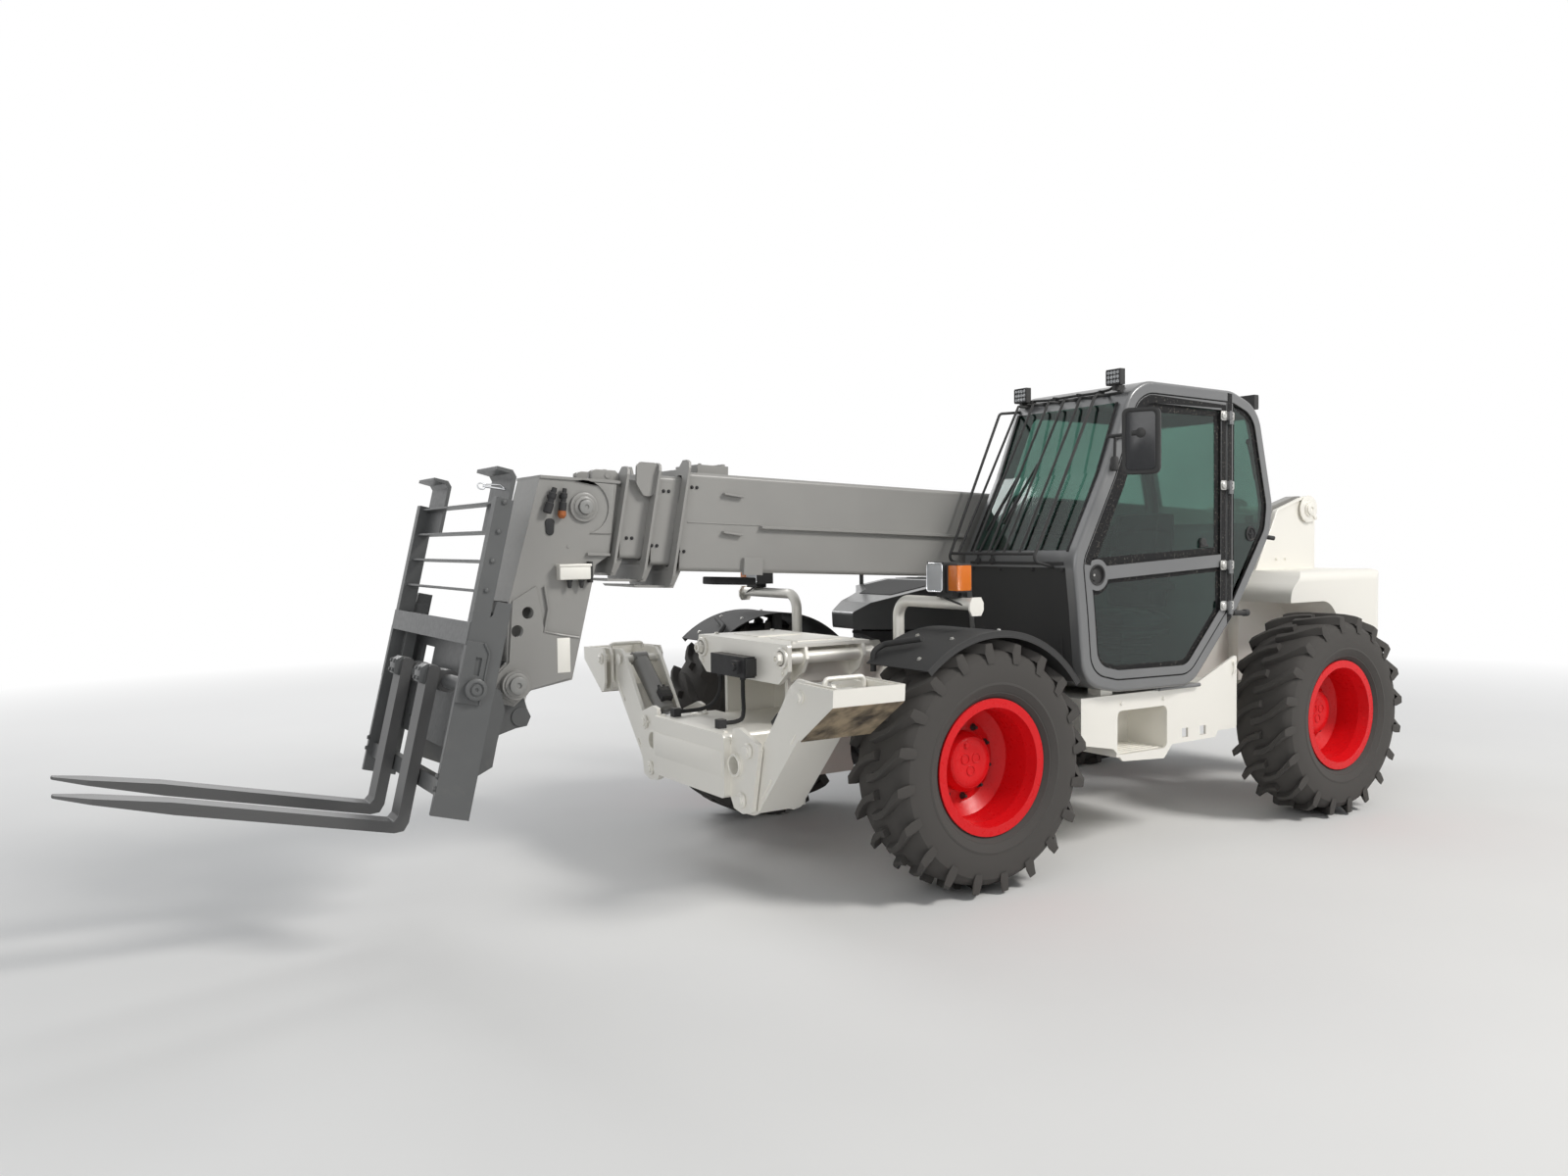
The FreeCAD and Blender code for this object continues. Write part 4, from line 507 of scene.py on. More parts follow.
def clipped(points: Sequence[Flat], origin: Flat, way: Flat) -> list[Vector]:
    """The part of a closed outline on one side of a line.

    Args:
        points: The outline.
        origin: A point on the line.
        way: Direction across the line, towards the side that stays.

    Returns:
        The outline of that part.
    """
    start, normal = Vector(origin), Vector(way)
    ring = [Vector(p) for p in points]
    line = []
    for a, b in zip(ring, ring[1:] + ring[:1]):
        da, db = (a - start).dot(normal), (b - start).dot(normal)
        if da >= 0:
            line.append(a)
        if da * db < 0:
            line.append(a.lerp(b, da / (da - db)))
    return line


def kept(points: Sequence[Flat], test: Callable[[Flat], bool]) -> list[Flat]:
    """The run of a closed outline's points that pass a test."""
    first = next(i for i in range(len(points)) if test(points[i]) and not test(points[i - 1]))
    turned = [*points[first:], *points[:first]]
    return [p for p in turned if test(p)]


def notched(points: Sequence[Flat], centre: Flat, radius: float) -> list[Vector]:
    """Closed outline with a round notch where a circle covers one corner."""
    middle = Vector(centre)
    ring = [Vector(p) for p in points]
    dense = [a.lerp(b, k / 8) for a, b in zip(ring, ring[1:] + ring[:1]) for k in range(8)]
    run = kept(dense, lambda p: (p - middle).length > radius)
    last, first = run[-1] - middle, run[0] - middle
    return run + [middle + last.lerp(first, k / 9).normalized() * radius for k in range(1, 9)]


def arc(x: float, z: float, r: float, start: float, end: float, steps: int) -> list[Flat]:
    """Points of a circle between two angles in degrees."""
    angles = (math.radians(start + (end - start) * k / steps) for k in range(steps + 1))
    return [(x + r * math.cos(a), z + r * math.sin(a)) for a in angles]


class Sculpt:
    """One joined mesh under construction in a local millimetre space."""

    def __init__(self, space: Matrix | None = None) -> None:
        """Start an empty mesh in a space, the machine's own where none is given."""
        self.space = machine_space() if space is None else space
        self.bm = bmesh.new()

    def _bevel(self, faces: Iterable[bmesh.types.BMFace], width: float) -> None:
        """Round the sharp edges of some faces."""
        if width <= 0:
            return
        edges = {e for f in faces for e in f.edges
                 if len(e.link_faces) == 2 and e.calc_face_angle(0.0) > BEVEL_ANGLE}
        bmesh.ops.bevel(self.bm, geom=list(edges), offset=width, segments=2, profile=0.6,
                        affect="EDGES", clamp_overlap=True)

    def block(self, low: Point, high: Point, width: float = 2.0) -> "Sculpt":
        """Add a block between two corners with rounded edges.

        Args:
            low: Corner with the smaller coordinates.
            high: Opposite corner.
            width: Rounding of the edges.

        Returns:
            This mesh.
        """
        low, high = Vector(low), Vector(high)
        place = Matrix.Translation((low + high) / 2) @ Matrix.Diagonal((*(high - low), 1.0))
        made = bmesh.ops.create_cube(self.bm, size=1.0, matrix=place)
        self._bevel({f for v in made["verts"] for f in v.link_faces}, width)
        return self

    def _lift(self, flat: Sequence[float], axis: Axis, along: float) -> bmesh.types.BMVert:
        """New corner from its two flat coordinates and its place along the axis."""
        parts = [flat[0], flat[1]]
        parts.insert(axis.value, along)
        return self.bm.verts.new(parts)

    def _hoop(self, centre: Vector, r: float, u: Vector, w: Vector,
              count: int) -> list[bmesh.types.BMVert]:
        """New corners on a circle that two directions span."""
        angles = (2 * math.pi * k / count for k in range(count))
        return [self.bm.verts.new(centre + r * (math.cos(a) * u + math.sin(a) * w)) for a in angles]

    def _skin(self, rings: Sequence[Sequence[bmesh.types.BMVert]], closed: bool = False) -> None:
        """Join each ring of corners with the next; a ring of one corner is a pole."""
        for a, b in zip(rings, [*rings[1:], rings[0]] if closed else rings[1:]):
            count = max(len(a), len(b))
            for k in range(count):
                m = (k + 1) % count
                corners = dict.fromkeys(
                    (a[k % len(a)], a[m % len(a)], b[m % len(b)], b[k % len(b)]))
                if len(corners) > 2:
                    self.bm.faces.new(list(corners))

    def plate(self, outline: Sequence[Flat], axis: Axis, low: float, high: float,
              width: float = 1.5) -> "Sculpt":
        """Add an outline extruded along an axis.

        Args:
            outline: The two other coordinates of each corner, in x, y, z order.
            axis: Direction of the extrusion.
            low: Where the extrusion starts.
            high: Where it ends.
            width: Rounding of the edges.

        Returns:
            This mesh.
        """
        near = [self._lift(p, axis, low) for p in outline]
        far = [self._lift(p, axis, high) for p in outline]
        faces = [self.bm.faces.new(near), self.bm.faces.new(list(reversed(far)))]
        for i, start in enumerate(near):
            j = (i + 1) % len(near)
            faces.append(self.bm.faces.new((near[j], start, far[i], far[j])))
        bmesh.ops.recalc_face_normals(self.bm, faces=faces)
        self._bevel(faces, width)
        return self

    def slab(self, corners: Sequence[Point], thick: float, width: float = 1.5) -> "Sculpt":
        """Add a flat panel through corners in space, thickened along its normal.

        Args:
            corners: The panel's face, anticlockwise seen from outside.
            thick: How far it stands out.
            width: Rounding of the edges.

        Returns:
            This mesh.
        """
        base = [Vector(c) for c in corners]
        out = (base[1] - base[0]).cross(base[2] - base[1]).normalized() * thick
        near = [self.bm.verts.new(c) for c in base]
        far = [self.bm.verts.new(c + out) for c in base]
        faces = [self.bm.faces.new(list(reversed(near))), self.bm.faces.new(far)]
        for i, start in enumerate(near):
            j = (i + 1) % len(near)
            faces.append(self.bm.faces.new((start, near[j], far[j], far[i])))
        self._bevel(faces, width)
        return self

    def strip(self, path: Sequence[Flat], axis: Axis, low: float, high: float, wide: float,
              closed: bool = True) -> "Sculpt":
        """Add a flat band with softened edges that follows a path.

        Args:
            path: Middle line of the band in the two other coordinates.
            axis: Direction in which the band is thick.
            low: Its back face.
            high: Its front face.
            wide: Its width.
            closed: Whether the path returns to its start.

        Returns:
            This mesh.
        """
        soft = math.copysign(min(1.5, wide / 4, abs(high - low) / 2), high - low)
        share = 1 - 2 * abs(soft) / wide
        section = ((-1, low), (-1, high - soft), (-share, high), (share, high), (1, high - soft),
                   (1, low))
        points = [Vector(p) for p in path]
        rings = []
        for i, here in enumerate(points):
            run = heading(points, i, closed) * wide / 2
            side = Vector((-run.y, run.x))
            rings.append([self._lift(here + k * side, axis, along) for k, along in section])
        self._skin(rings, closed)
        if not closed:
            self.bm.faces.new(rings[0])
            self.bm.faces.new(list(reversed(rings[-1])))
        return self

    def tube(self, line: Sequence[Point], radius: float, sides: int = 14,
             closed: bool = False) -> "Sculpt":
        """Add a round bar along a line.

        Args:
            line: Points of the centre line.
            radius: Radius of the bar.
            sides: Flats round the bar.
            closed: Whether the line returns to its start.

        Returns:
            This mesh.
        """
        points = [Vector(p) for p in line]
        rings = []
        normal = heading(points, 0, closed).orthogonal().normalized()
        for i, point in enumerate(points):
            run = heading(points, i, closed)
            normal = (normal - run * normal.dot(run)).normalized()
            rings.append(self._hoop(point, radius, normal, run.cross(normal), sides))
        self._skin(rings, closed)
        if not closed:
            self.bm.faces.new(list(reversed(rings[0])))
            self.bm.faces.new(rings[-1])
        return self

    def turned(self, profile: Sequence[Flat], centre: Point, axis: Point = LEFT,
               steps: int = 32) -> "Sculpt":
        """Add a turned form.

        Args:
            profile: Radius and place along the axis of each point.
            centre: Where the axis starts.
            axis: Direction of the axis.
            steps: Facets round it.

        Returns:
            This mesh.
        """
        way = Vector(axis).normalized()
        side = way.orthogonal().normalized()
        self._skin([self._hoop(Vector(centre) + way * along, r, side, way.cross(side),
                               steps if r else 1) for r, along in profile])
        return self

    def bolt(self, centre: Point, axis: Point, size: float, head: float = 0.0) -> "Sculpt":
        """Add a washer with a six-sided head on it.

        Args:
            centre: Middle of the washer's underside.
            axis: Direction out of the surface.
            size: Radius over the head's corners.
            head: Height of the head, 0.7 of its size by default.

        Returns:
            This mesh.
        """
        high = head or 0.7 * size
        wide, thick, top = 1.35 * size, 0.16 * size, 0.2 * size + high
        self.turned([(0, 0), (wide, 0), (wide, thick), (0, thick)], centre, axis, 18)
        return self.turned([(size, thick), (size, 0.1 * size + high), (0.8 * size, top), (0, top)],
                           centre, axis, 6)

    def mirrored(self) -> "Sculpt":
        """Add the same again on the other side of the machine."""
        whole = [*self.bm.verts, *self.bm.edges, *self.bm.faces]
        made = bmesh.ops.duplicate(self.bm, geom=whole)["geom"]
        for v in (g for g in made if isinstance(g, bmesh.types.BMVert)):
            v.co.y = -v.co.y
        bmesh.ops.reverse_faces(
            self.bm, faces=[g for g in made if isinstance(g, bmesh.types.BMFace)])
        return self

    def done(self, name: str, body: str, finish: Finish) -> bpy.types.Object:
        """Close the mesh and fit it to a body.

        Args:
            name: Name of the piece.
            body: Body that it moves with.
            finish: Its finish.

        Returns:
            The new object.
        """
        self.bm.transform(self.space)
        bmesh.ops.recalc_face_normals(self.bm, faces=self.bm.faces)
        mesh = bpy.data.meshes.new(name)
        self.bm.to_mesh(mesh)
        self.bm.free()
        mesh.shade_smooth()
        mesh.set_sharp_from_angle(angle=SHARP_ANGLE)
        mesh.materials.append(finish.material())
        piece = linked(name, mesh)
        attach(piece, body)
        log.info("%s: %d faces on %s", name, len(mesh.polygons), body)
        return piece


@dataclass
class Wheels:
    """Tyres with their lugs, wheel nuts and hub plugs."""

    ends: dict[str, float] = field(default_factory=lambda: {"front": 2850.0, "rear": 0.0})
    radius: float = 620.0
    tread: float = 586.0
    width: float = 400.0
    track: float = 1010.0
    lugs: int = 20
    disc: float = 908.0
    nuts: int = 10
    nut_circle: float = 182.0

    def carcass(self, s: Sculpt, centre: Point, out: float) -> None:
        """Add the rounded carcass with its sidewall rings."""
        half = self.width / 2
        profile = []
        for side in (-1, 1):
            wall = [(306, 149), (338, 152), (352, 168), (362, 181), (368, 182), (372, 186),
                    (400, 194), (404, 197), (412, 197), (416, 195), (455, 199), (500, 197),
                    (534, 190), (538, 186), (556, 174), (572, 146), (582, 96), (586, 40)]
            profile += [(r, side * y * half / 200) for r, y in wall[::-side]]
        s.turned([(r, y * out) for r, y in profile], centre, steps=96)

    def lug(self, s: Sculpt, centre: Vector, row: float, base: float, out: float) -> None:
        """Add one curved lug that narrows to a hooked end on the shoulder."""
        stations = [(-26, -1.0, 20, 0), (30, 0.8, 17, 0), (84, 3.8, 17, 0), (134, 8.2, 18, -2),
                    (176, 12.2, 20, -7), (194, 13.4, 22, -14), (198, 13.7, 21, -48),
                    (200, 13.9, 15, -96)]
        rings = []
        for y, lead, wide, drop in stations:
            top = self.radius + drop
            foot = min(top - 14, self.tread - 18 + 0.6 * drop)
            ring = []
            for r, w in ((foot, wide + 9), (top - 3, wide), (top, wide - 4), (top, -wide + 4),
                         (top - 3, -wide), (foot, -wide - 9)):
                a = math.radians(base + row * lead) + w / self.radius
                ring.append(s.bm.verts.new(centre + Vector(
                    (r * math.cos(a), row * y * out, r * math.sin(a)))))
            rings.append(ring)
        for a, b in zip(rings, rings[1:]):
            for k in range(5):
                s.bm.faces.new((a[k], a[k + 1], b[k + 1], b[k]))
        s.bm.faces.new(rings[0])
        s.bm.faces.new(rings[-1])

    def build(self) -> None:
        """Make every wheel's pieces."""
        for end, x in self.ends.items():
            for side, out in SIDES:
                body = f"wheel_{end}_{side}"
                centre = Vector((x, out * self.track, self.radius))
                way = Vector((0, out, 0))
                tyre = Sculpt()
                self.carcass(tyre, centre, out)
                pitch = 360.0 / self.lugs
                for i in range(self.lugs):
                    self.lug(tyre, centre, 1.0, i * pitch, out)
                    self.lug(tyre, centre, -1.0, (i + 0.5) * pitch, out)
                piece = tyre.done(f"lugged_tyre_{end}_{side}", body, Finish.TYRE)
                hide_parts(f"tyre_{end}_{side}")
                nuts = Sculpt()
                face = centre + Vector((0, out * (self.disc - self.track + 20), 0))
                for spot in spots(face, self.nut_circle, self.nuts, 12):
                    nuts.turned([(0, 0), (18, 0), (15, 6), (9, 7), (9, 28), (7, 31), (0, 31)], spot,
                                way, 14)
                    nuts.bolt(spot, way, 14, 14)
                nuts.done(f"wheel_nuts_{end}_{side}", body, Finish.CAST)
                plug = Sculpt()
                lid = centre + Vector((0, out * (self.disc - self.track + 104), 0))
                plug.turned([(122, -2), (122, 1), (117, 4), (76, 4), (71, 2), (0, 2)], lid, way, 48)
                plug.bolt(lid + Vector((28, out * 3, 88)), way, 15, 6)
                for spot in spots(lid, 40, 3, 30):
                    plug.turned([(26, 2), (26, 5), (22, 5), (22, 2)], spot, way, 24)
                plug.done(f"hub_lid_{end}_{side}", body, Finish.RED)


def cushion(name: str, place: Matrix, half: Point, channels: int) -> bpy.types.Object:
    """Make a crowned pad with pulled-in sides, sewn channels and a piped seam.

    Args:
        name: Name of the piece.
        place: Matrix from millimetres round the pad's middle to metres.
        half: Half length, half width and half thickness.
        channels: Sewn lines across the pad.

    Returns:
        The new object.
    """
    s = Sculpt(place)
    count, bow, pull, piping = 56, 0.16, 0.035, 4.5
    across = [2 * (k + 1) / (channels + 1) - 1 for k in range(channels)]

    def spot(u: float, v: float, side: int) -> Vector:
        """Point of the pad's top (1) or underside (-1)."""
        x = half[0] * u * math.sqrt(1 - bow * v * v) * (1 - pull * (1 - v * v) * u * u)
        y = half[1] * v * math.sqrt(1 - bow * u * u) * (1 - pull * (1 - u * u) * v * v)
        crown = (1 - u ** 6) ** 0.5 * (1 - v ** 6) ** 0.5
        z = half[2] * (0.1 + (0.9 if side > 0 else 0.6) * crown)
        if side > 0:
            for seams, at, deep, wide in ((across, u, 13, 0.035), ((-0.62, 0.62), v, 11, 0.03)):
                for seam in seams:
                    z -= deep * crown * math.exp(-((at - seam) / wide) ** 2)
            z += 5 * noise.noise(Vector((x, y, 40)) * 0.016) * crown
        return Vector((x, y, side * z))

    span = [2 * k / count - 1 for k in range(count + 1)]
    edges = {}
    for side in (1, -1):
        grid = [[s.bm.verts.new(spot(u, v, side)) for v in span] for u in span]
        for a, b in zip(grid, grid[1:]):
            for k in range(count):
                s.bm.faces.new((a[k], b[k], b[k + 1], a[k + 1]))
        edges[side] = (grid[0][:-1] + [row[-1] for row in grid[:-1]] + grid[-1][:0:-1]
                       + [row[0] for row in grid[:0:-1]])
    ring = list(zip(edges[1], edges[-1]))
    for (a, c), (b, d) in zip(ring, ring[1:] + ring[:1]):
        s.bm.faces.new((a, b, d, c))
    rise = Vector((0, 0, half[2] * 0.1))
    s.tube([(a.co + c.co) / 2 + rise for a, c in ring], piping, 8, closed=True)
    piece = s.done(name, "chassis", Finish.CLOTH)
    return piece


@dataclass
class Cab:
    """Seals, black door trim, hinges, handle, wipers, mirrors, lamps and the seat."""

    side: tuple[Flat, ...] = (
        (2175, 963), (1927, 906), (1318, 897), (927, 1304), (624, 1737), (603, 1903), (739, 2463),
        (975, 2545), (1688, 2560), (1817, 2496), (1997, 2067), (2242, 1614), (2208, 1333))
    left: float = 1120.0
    hinge: float = 1020.0
    hinges: tuple[float, ...] = (1330.0, 1560.0, 2010.0, 2400.0)
    handle: Flat = (2070.0, 1530.0)

    def ring(self, depth: float) -> list[Flat]:
        """The side outline at a depth inside it, its corners rounded as on the cab."""
        return rounded(inset(self.side, depth), max(220 - depth, 30), 8)

    def pane(self, depth: float, upper: bool) -> list[Flat]:
        """One door pane's outline, above or below the rail."""
        front = clipped(self.ring(depth), (self.hinge + depth - 58, 0), (1, 0))
        if upper:
            return clipped(front, (900, 1630 + depth - 116), (0.05, 1))
        low = clipped(front, (900, 1676 - depth), (-0.05, -1))
        return notched(low, self.handle, depth - 34)

    def seals(self) -> None:
        """Rubber round the side opening and black bands along the panes."""
        s = Sculpt()
        s.strip(self.ring(66), Axis.Y, 1100, 1121, 5)
        s.plate([(984, 1262), (1022, 1226), (1022, 2530), (984, 2526)], Axis.Y, 1119, 1121.5, 1)
        s.strip(clipped(self.ring(80), (964, 0), (-1, 0)), Axis.Y, 1109, 1111.5, 26)
        s.done("cab_side_seal", "chassis", Finish.SEAL)
        door = Sculpt()
        frame = clipped(self.ring(95), (1055, 0), (1, 0))
        black = kept(frame, lambda p: p[0] < 1060 or p[1] > 1640 - 0.05 * (p[0] - 900))
        door.strip(black, Axis.Y, 1116, 1121.5, 43, closed=False)
        for upper, wide in ((True, 48), (False, 26)):
            door.strip(self.pane(115 + wide / 2, upper), Axis.Y, 1103, 1106, wide)
            door.strip(self.pane(117, upper), Axis.Y, 1103, 1119, 5)
        door.done("door_black_trim", "cab_door", Finish.SEAL)

    def hardware(self) -> None:
        """Hinge plates, the handle in its recess and the window catches."""
        leaf, post = Sculpt(), Sculpt()
        marks = Sculpt()
        for z in self.hinges:
            leaf.plate(rounded(oblong(1034, z - 27, 1090, z + 27), 12, 4), Axis.Y, 1126, 1129.5)
            leaf.turned([(0, 0), (19, 0), (19, 7), (15, 10), (0, 10)], (1066, 1129, z))
            post.plate(rounded(oblong(966, z - 24, 1014, z + 24), 8, 3), Axis.Y, 1120, 1124)
            for dz in (-11, 11):
                marks.turned([(0, 0), (6, 0), (5, 1.5), (0, 1.5)], (984, 1124, z + dz), steps=12)
            leaf.turned([(0, 0), (8, 0), (7, 1.5), (0, 1.5)], (1066, 1139, z), steps=14)
        leaf.done("door_hinge_plates", "cab_door", Finish.ZINC)
        post.done("post_hinge_plates", "chassis", Finish.ZINC)
        marks.done("hinge_screws", "chassis", Finish.BLACK)
        x, z = self.handle
        grip = Sculpt()
        grip.turned([(56, 0), (56, 3), (50, 4), (47, 1), (46, -12), (0, -14)], (x, 1120, z))
        grip.plate(rounded([(x + 4, z - 34), (x + 38, z - 22), (x + 38, z + 22), (x + 4, z + 34)],
                           9, 4), Axis.Y, 1106, 1118, 3)
        grip.done("door_handle", "cab_door", Finish.BLACK)
        lock = Sculpt()
        lock.turned([(0, 0), (7, 0), (6, 3), (0, 3)], (x + 22, 1117, z), steps=16)
        lock.done("door_lock", "cab_door", Finish.ZINC)
        catch = Sculpt()
        catch.tube([(1180, 1108, 1672), (1246, 1108, 1668)], 9, 12)
        catch.turned([(0, -8), (24, -8), (24, 10), (18, 14), (0, 14)], (1222, 1106, 1690))
        catch.done("door_catch", "cab_door", Finish.BLACK)
        vent = Sculpt()
        vent.turned([(44, 0), (44, 5), (34, 7), (32, 1), (0, 1)], (800, 1110, 1735))
        vent.block((795, 1110, 1710), (805, 1117, 1760), 1)
        vent.block((778, 1110, 1730), (822, 1117, 1740), 1)
        vent.done("quarter_vent", "chassis", Finish.CAST)
        clamp = Sculpt()
        clamp.tube([(655, 1095, 1716), (640, 1122, 1712), (612, 1130, 1708)], 13, 14)
        clamp.tube([(960, 1112, 1286), (905, 1130, 1284), (880, 1130, 1283)], 16, 16)
        clamp.turned([(20, 0), (20, 30), (16, 34), (0, 34)], (886, 1130, 1283), (-1, 0, 0))
        clamp.tube([(752, 1100, 2048), (790, 1100, 2180), (822, 1100, 2262)], 6, 10)
        clamp.turned([(0, 0), (17, 0), (15, 9), (0, 9)], (820, 1100, 2262))
        clamp.done("quarter_catches", "chassis", Finish.BLACK)

    def front(self) -> None:
        """Windscreen edge, two wipers, bolts of the lower panel and the guard's feet."""
        along = Vector((-0.477, 0, 0.879))
        out = Vector((0.879, 0, 0.477))
        s = Sculpt()
        for y, reach in ((392.0, 0.0), (506.0, 40.0)):
            foot = Vector((2236, y, 1600))
            elbow = foot + out * 22 + along * 30
            tip = elbow + along * (330 + reach) + Vector((0, 26, 0)) - out * 14
            s.tube([foot, elbow, tip], 7, 10)
            s.turned([(0, 0), (20, 0), (16, 16), (0, 18)], foot - out * 4, out)
            lean = Vector((0, 44, 0))
            low, high, wide = tip - along * 170 - lean, tip + along * 210 + lean, Vector((0, 8, 0))
            s.slab([low, low + wide, high + wide, high], 12, 1)
        s.block((2226, 326, 1583), (2240, 1042, 1600), 4)
        for y in (340, 560, 812, 1030):
            for x, z in ((2231, 1560), (2184, 1040)):
                s.bolt((x, y, z), Vector((1, 0, -0.12)), 11)
        for y in (965, 300):
            s.turned([(0, 0), (21, 0), (24, 16), (19, 40), (10, 46), (0, 46)], (2176, y, 1560),
                     (1, 0, 0.3))
        s.done("screen_wipers", "chassis", Finish.BLACK)
        edge = Sculpt()
        for y0, y1 in ((306, 322), (1046, 1062)):
            for a, b in (((2217, 1652), (1998, 2067)), ((1998, 2067), (1846, 2440))):
                run = Vector((b[0] - a[0], 0, b[1] - a[1])).normalized()
                dx, dz = 2 * run.z, -2 * run.x
                edge.slab([(x + dx, y, z + dz) for (x, z), y in (
                    (a, y0), (a, y1), (b, y1), (b, y0))], 3, 0.8)
        edge.done("screen_edge_band", "chassis", Finish.SEAL)

    def roof(self) -> None:
        """Cable clipped along the roof's front edge and the rear edge band."""
        s = Sculpt()
        s.tube(rounded_path([(1836, 337, 2512), (1800, 380, 2520), (1812, 520, 2510),
                             (1802, 700, 2514), (1814, 860, 2510), (1800, 960, 2520),
                             (1800, 1003, 2542)], 60), 7, 10)
        for y in (380, 560, 740, 900):
            s.block((1788, y, 2503), (1826, y + 16, 2522), 3)
        s.block((1796, 330, 2490), (1812, 1050, 2502), 4)
        s.done("roof_cable", "chassis", Finish.HOSE)
        mount = Sculpt()
        mount.block((1190, 930, 880.5), (1560, 1074, 895), 6)
        mount.tube([(1200, 1072, 888), (1540, 1072, 888)], 11, 14)
        mount.done("cab_mount", "chassis", Finish.CAB)

    def mirrors(self) -> None:
        """Bezels, glasses and clamps of both mirrors."""
        for name, y, z, turn in (("left", 1335, 2210, 30), ("right", -1335, 1700, -30)):
            space = (machine_space() @ Matrix.Translation((1985, y, z))
                     @ Matrix.Rotation(math.radians(turn), 4, "Z"))
            box = rounded(oblong(-84, -158, 84, 158), 30, 6)
            shell = Sculpt(space)
            shell.strip(box, Axis.X, 15, 22, 14)
            shell.turned([(0, 15), (26, 15), (24, 30), (14, 36), (0, 38)], (0, 0, 40), (1, 0, 0))
            shell.turned([(13, 0), (13, 44), (0, 46)], (20, 0, 40), (0, -1 if y > 0 else 1, 0))
            shell.done(f"mirror_bezel_{name}", "chassis", Finish.BLACK)
            glass = Sculpt(space)
            glass.plate(rounded(oblong(-80, -152, 80, 152), 26, 6), Axis.X, -16, -18.5, 0.5)
            glass.done(f"mirror_glass_{name}", "chassis", Finish.CHROME)
            face = Sculpt(space)
            face.plate(rounded(oblong(-72, -146, 72, 146), 22, 6), Axis.X, 16, 18.5, 0.8)
            face.done(f"mirror_cover_{name}", "chassis", Finish.GLOSS)
        arm = Sculpt()
        arm.tube(rounded_path([(1958, 1134, 2104), (1958, 1140, 2240), (1960, 1134, 2258)], 20),
                 8, 12)
        arm.turned([(15, 0), (21, 8), (21, 66), (15, 76), (0, 76)], (1958, 1136, 2070), (0, 0, 1))
        arm.block((1936, 1119, 2078), (1974, 1130, 2136), 4)
        arm.done("mirror_clamp", "chassis", Finish.BLACK)

    def lamps(self) -> None:
        """Grids of small lenses on the work lamps."""
        rim, dots = Sculpt(), Sculpt()
        for x, y, z, out in ((1858, 337, 2554, 1), (1823, 1005, 2582, 1), (690, 1030, 2500, -1)):
            square = rounded(oblong(y - 46, z - 38, y + 46, z + 38), 6, 3)
            rim.strip(square, Axis.X, x - out, x + 5 * out, 6)
            for i in range(4):
                for j in range(3):
                    dots.turned([(10, 0), (9, 3), (5, 4), (0, 4)],
                                (x, y - 33 + 22 * i, z - 24 + 24 * j), (out, 0, 0), 14)
        rim.done("work_lamp_rims", "chassis", Finish.CAST)
        dots.done("work_lamp_lenses", "chassis", Finish.LENS)

    def seat(self) -> None:
        """Cushion and back over a plain base."""
        base = Sculpt()
        base.block((1300, 500, 900), (1620, 880, 960), 12)
        for k in range(4):
            base.block((1330, 530, 962 + 50 * k), (1590, 850, 1002 + 50 * k), 16)
        base.block((1250, 470, 1162), (1650, 910, 1196), 14)
        for y in (452, 900):
            base.block((1230, y, 1420), (1560, y + 34, 1462), 14)
        piece = base.done("seat_base", "chassis", Finish.BLACK)
        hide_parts("seat")
        lean = Matrix.Rotation(math.radians(82), 4, "Y")
        for name, place, half, bars in (
                ("seat_cushion", Matrix.Translation((1448, 690, 1254)), (210, 238, 56), 2),
                ("seat_back", Matrix.Translation((1247, 690, 1588)) @ lean, (285, 226, 60), 4)):
            pad = cushion(name, machine_space() @ place, half, bars)
            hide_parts("seat")

    def build(self) -> None:
        """Make everything on the cab."""
        for make in (self.seals, self.hardware, self.front, self.roof, self.mirrors, self.lamps,
                     self.seat):
            make()


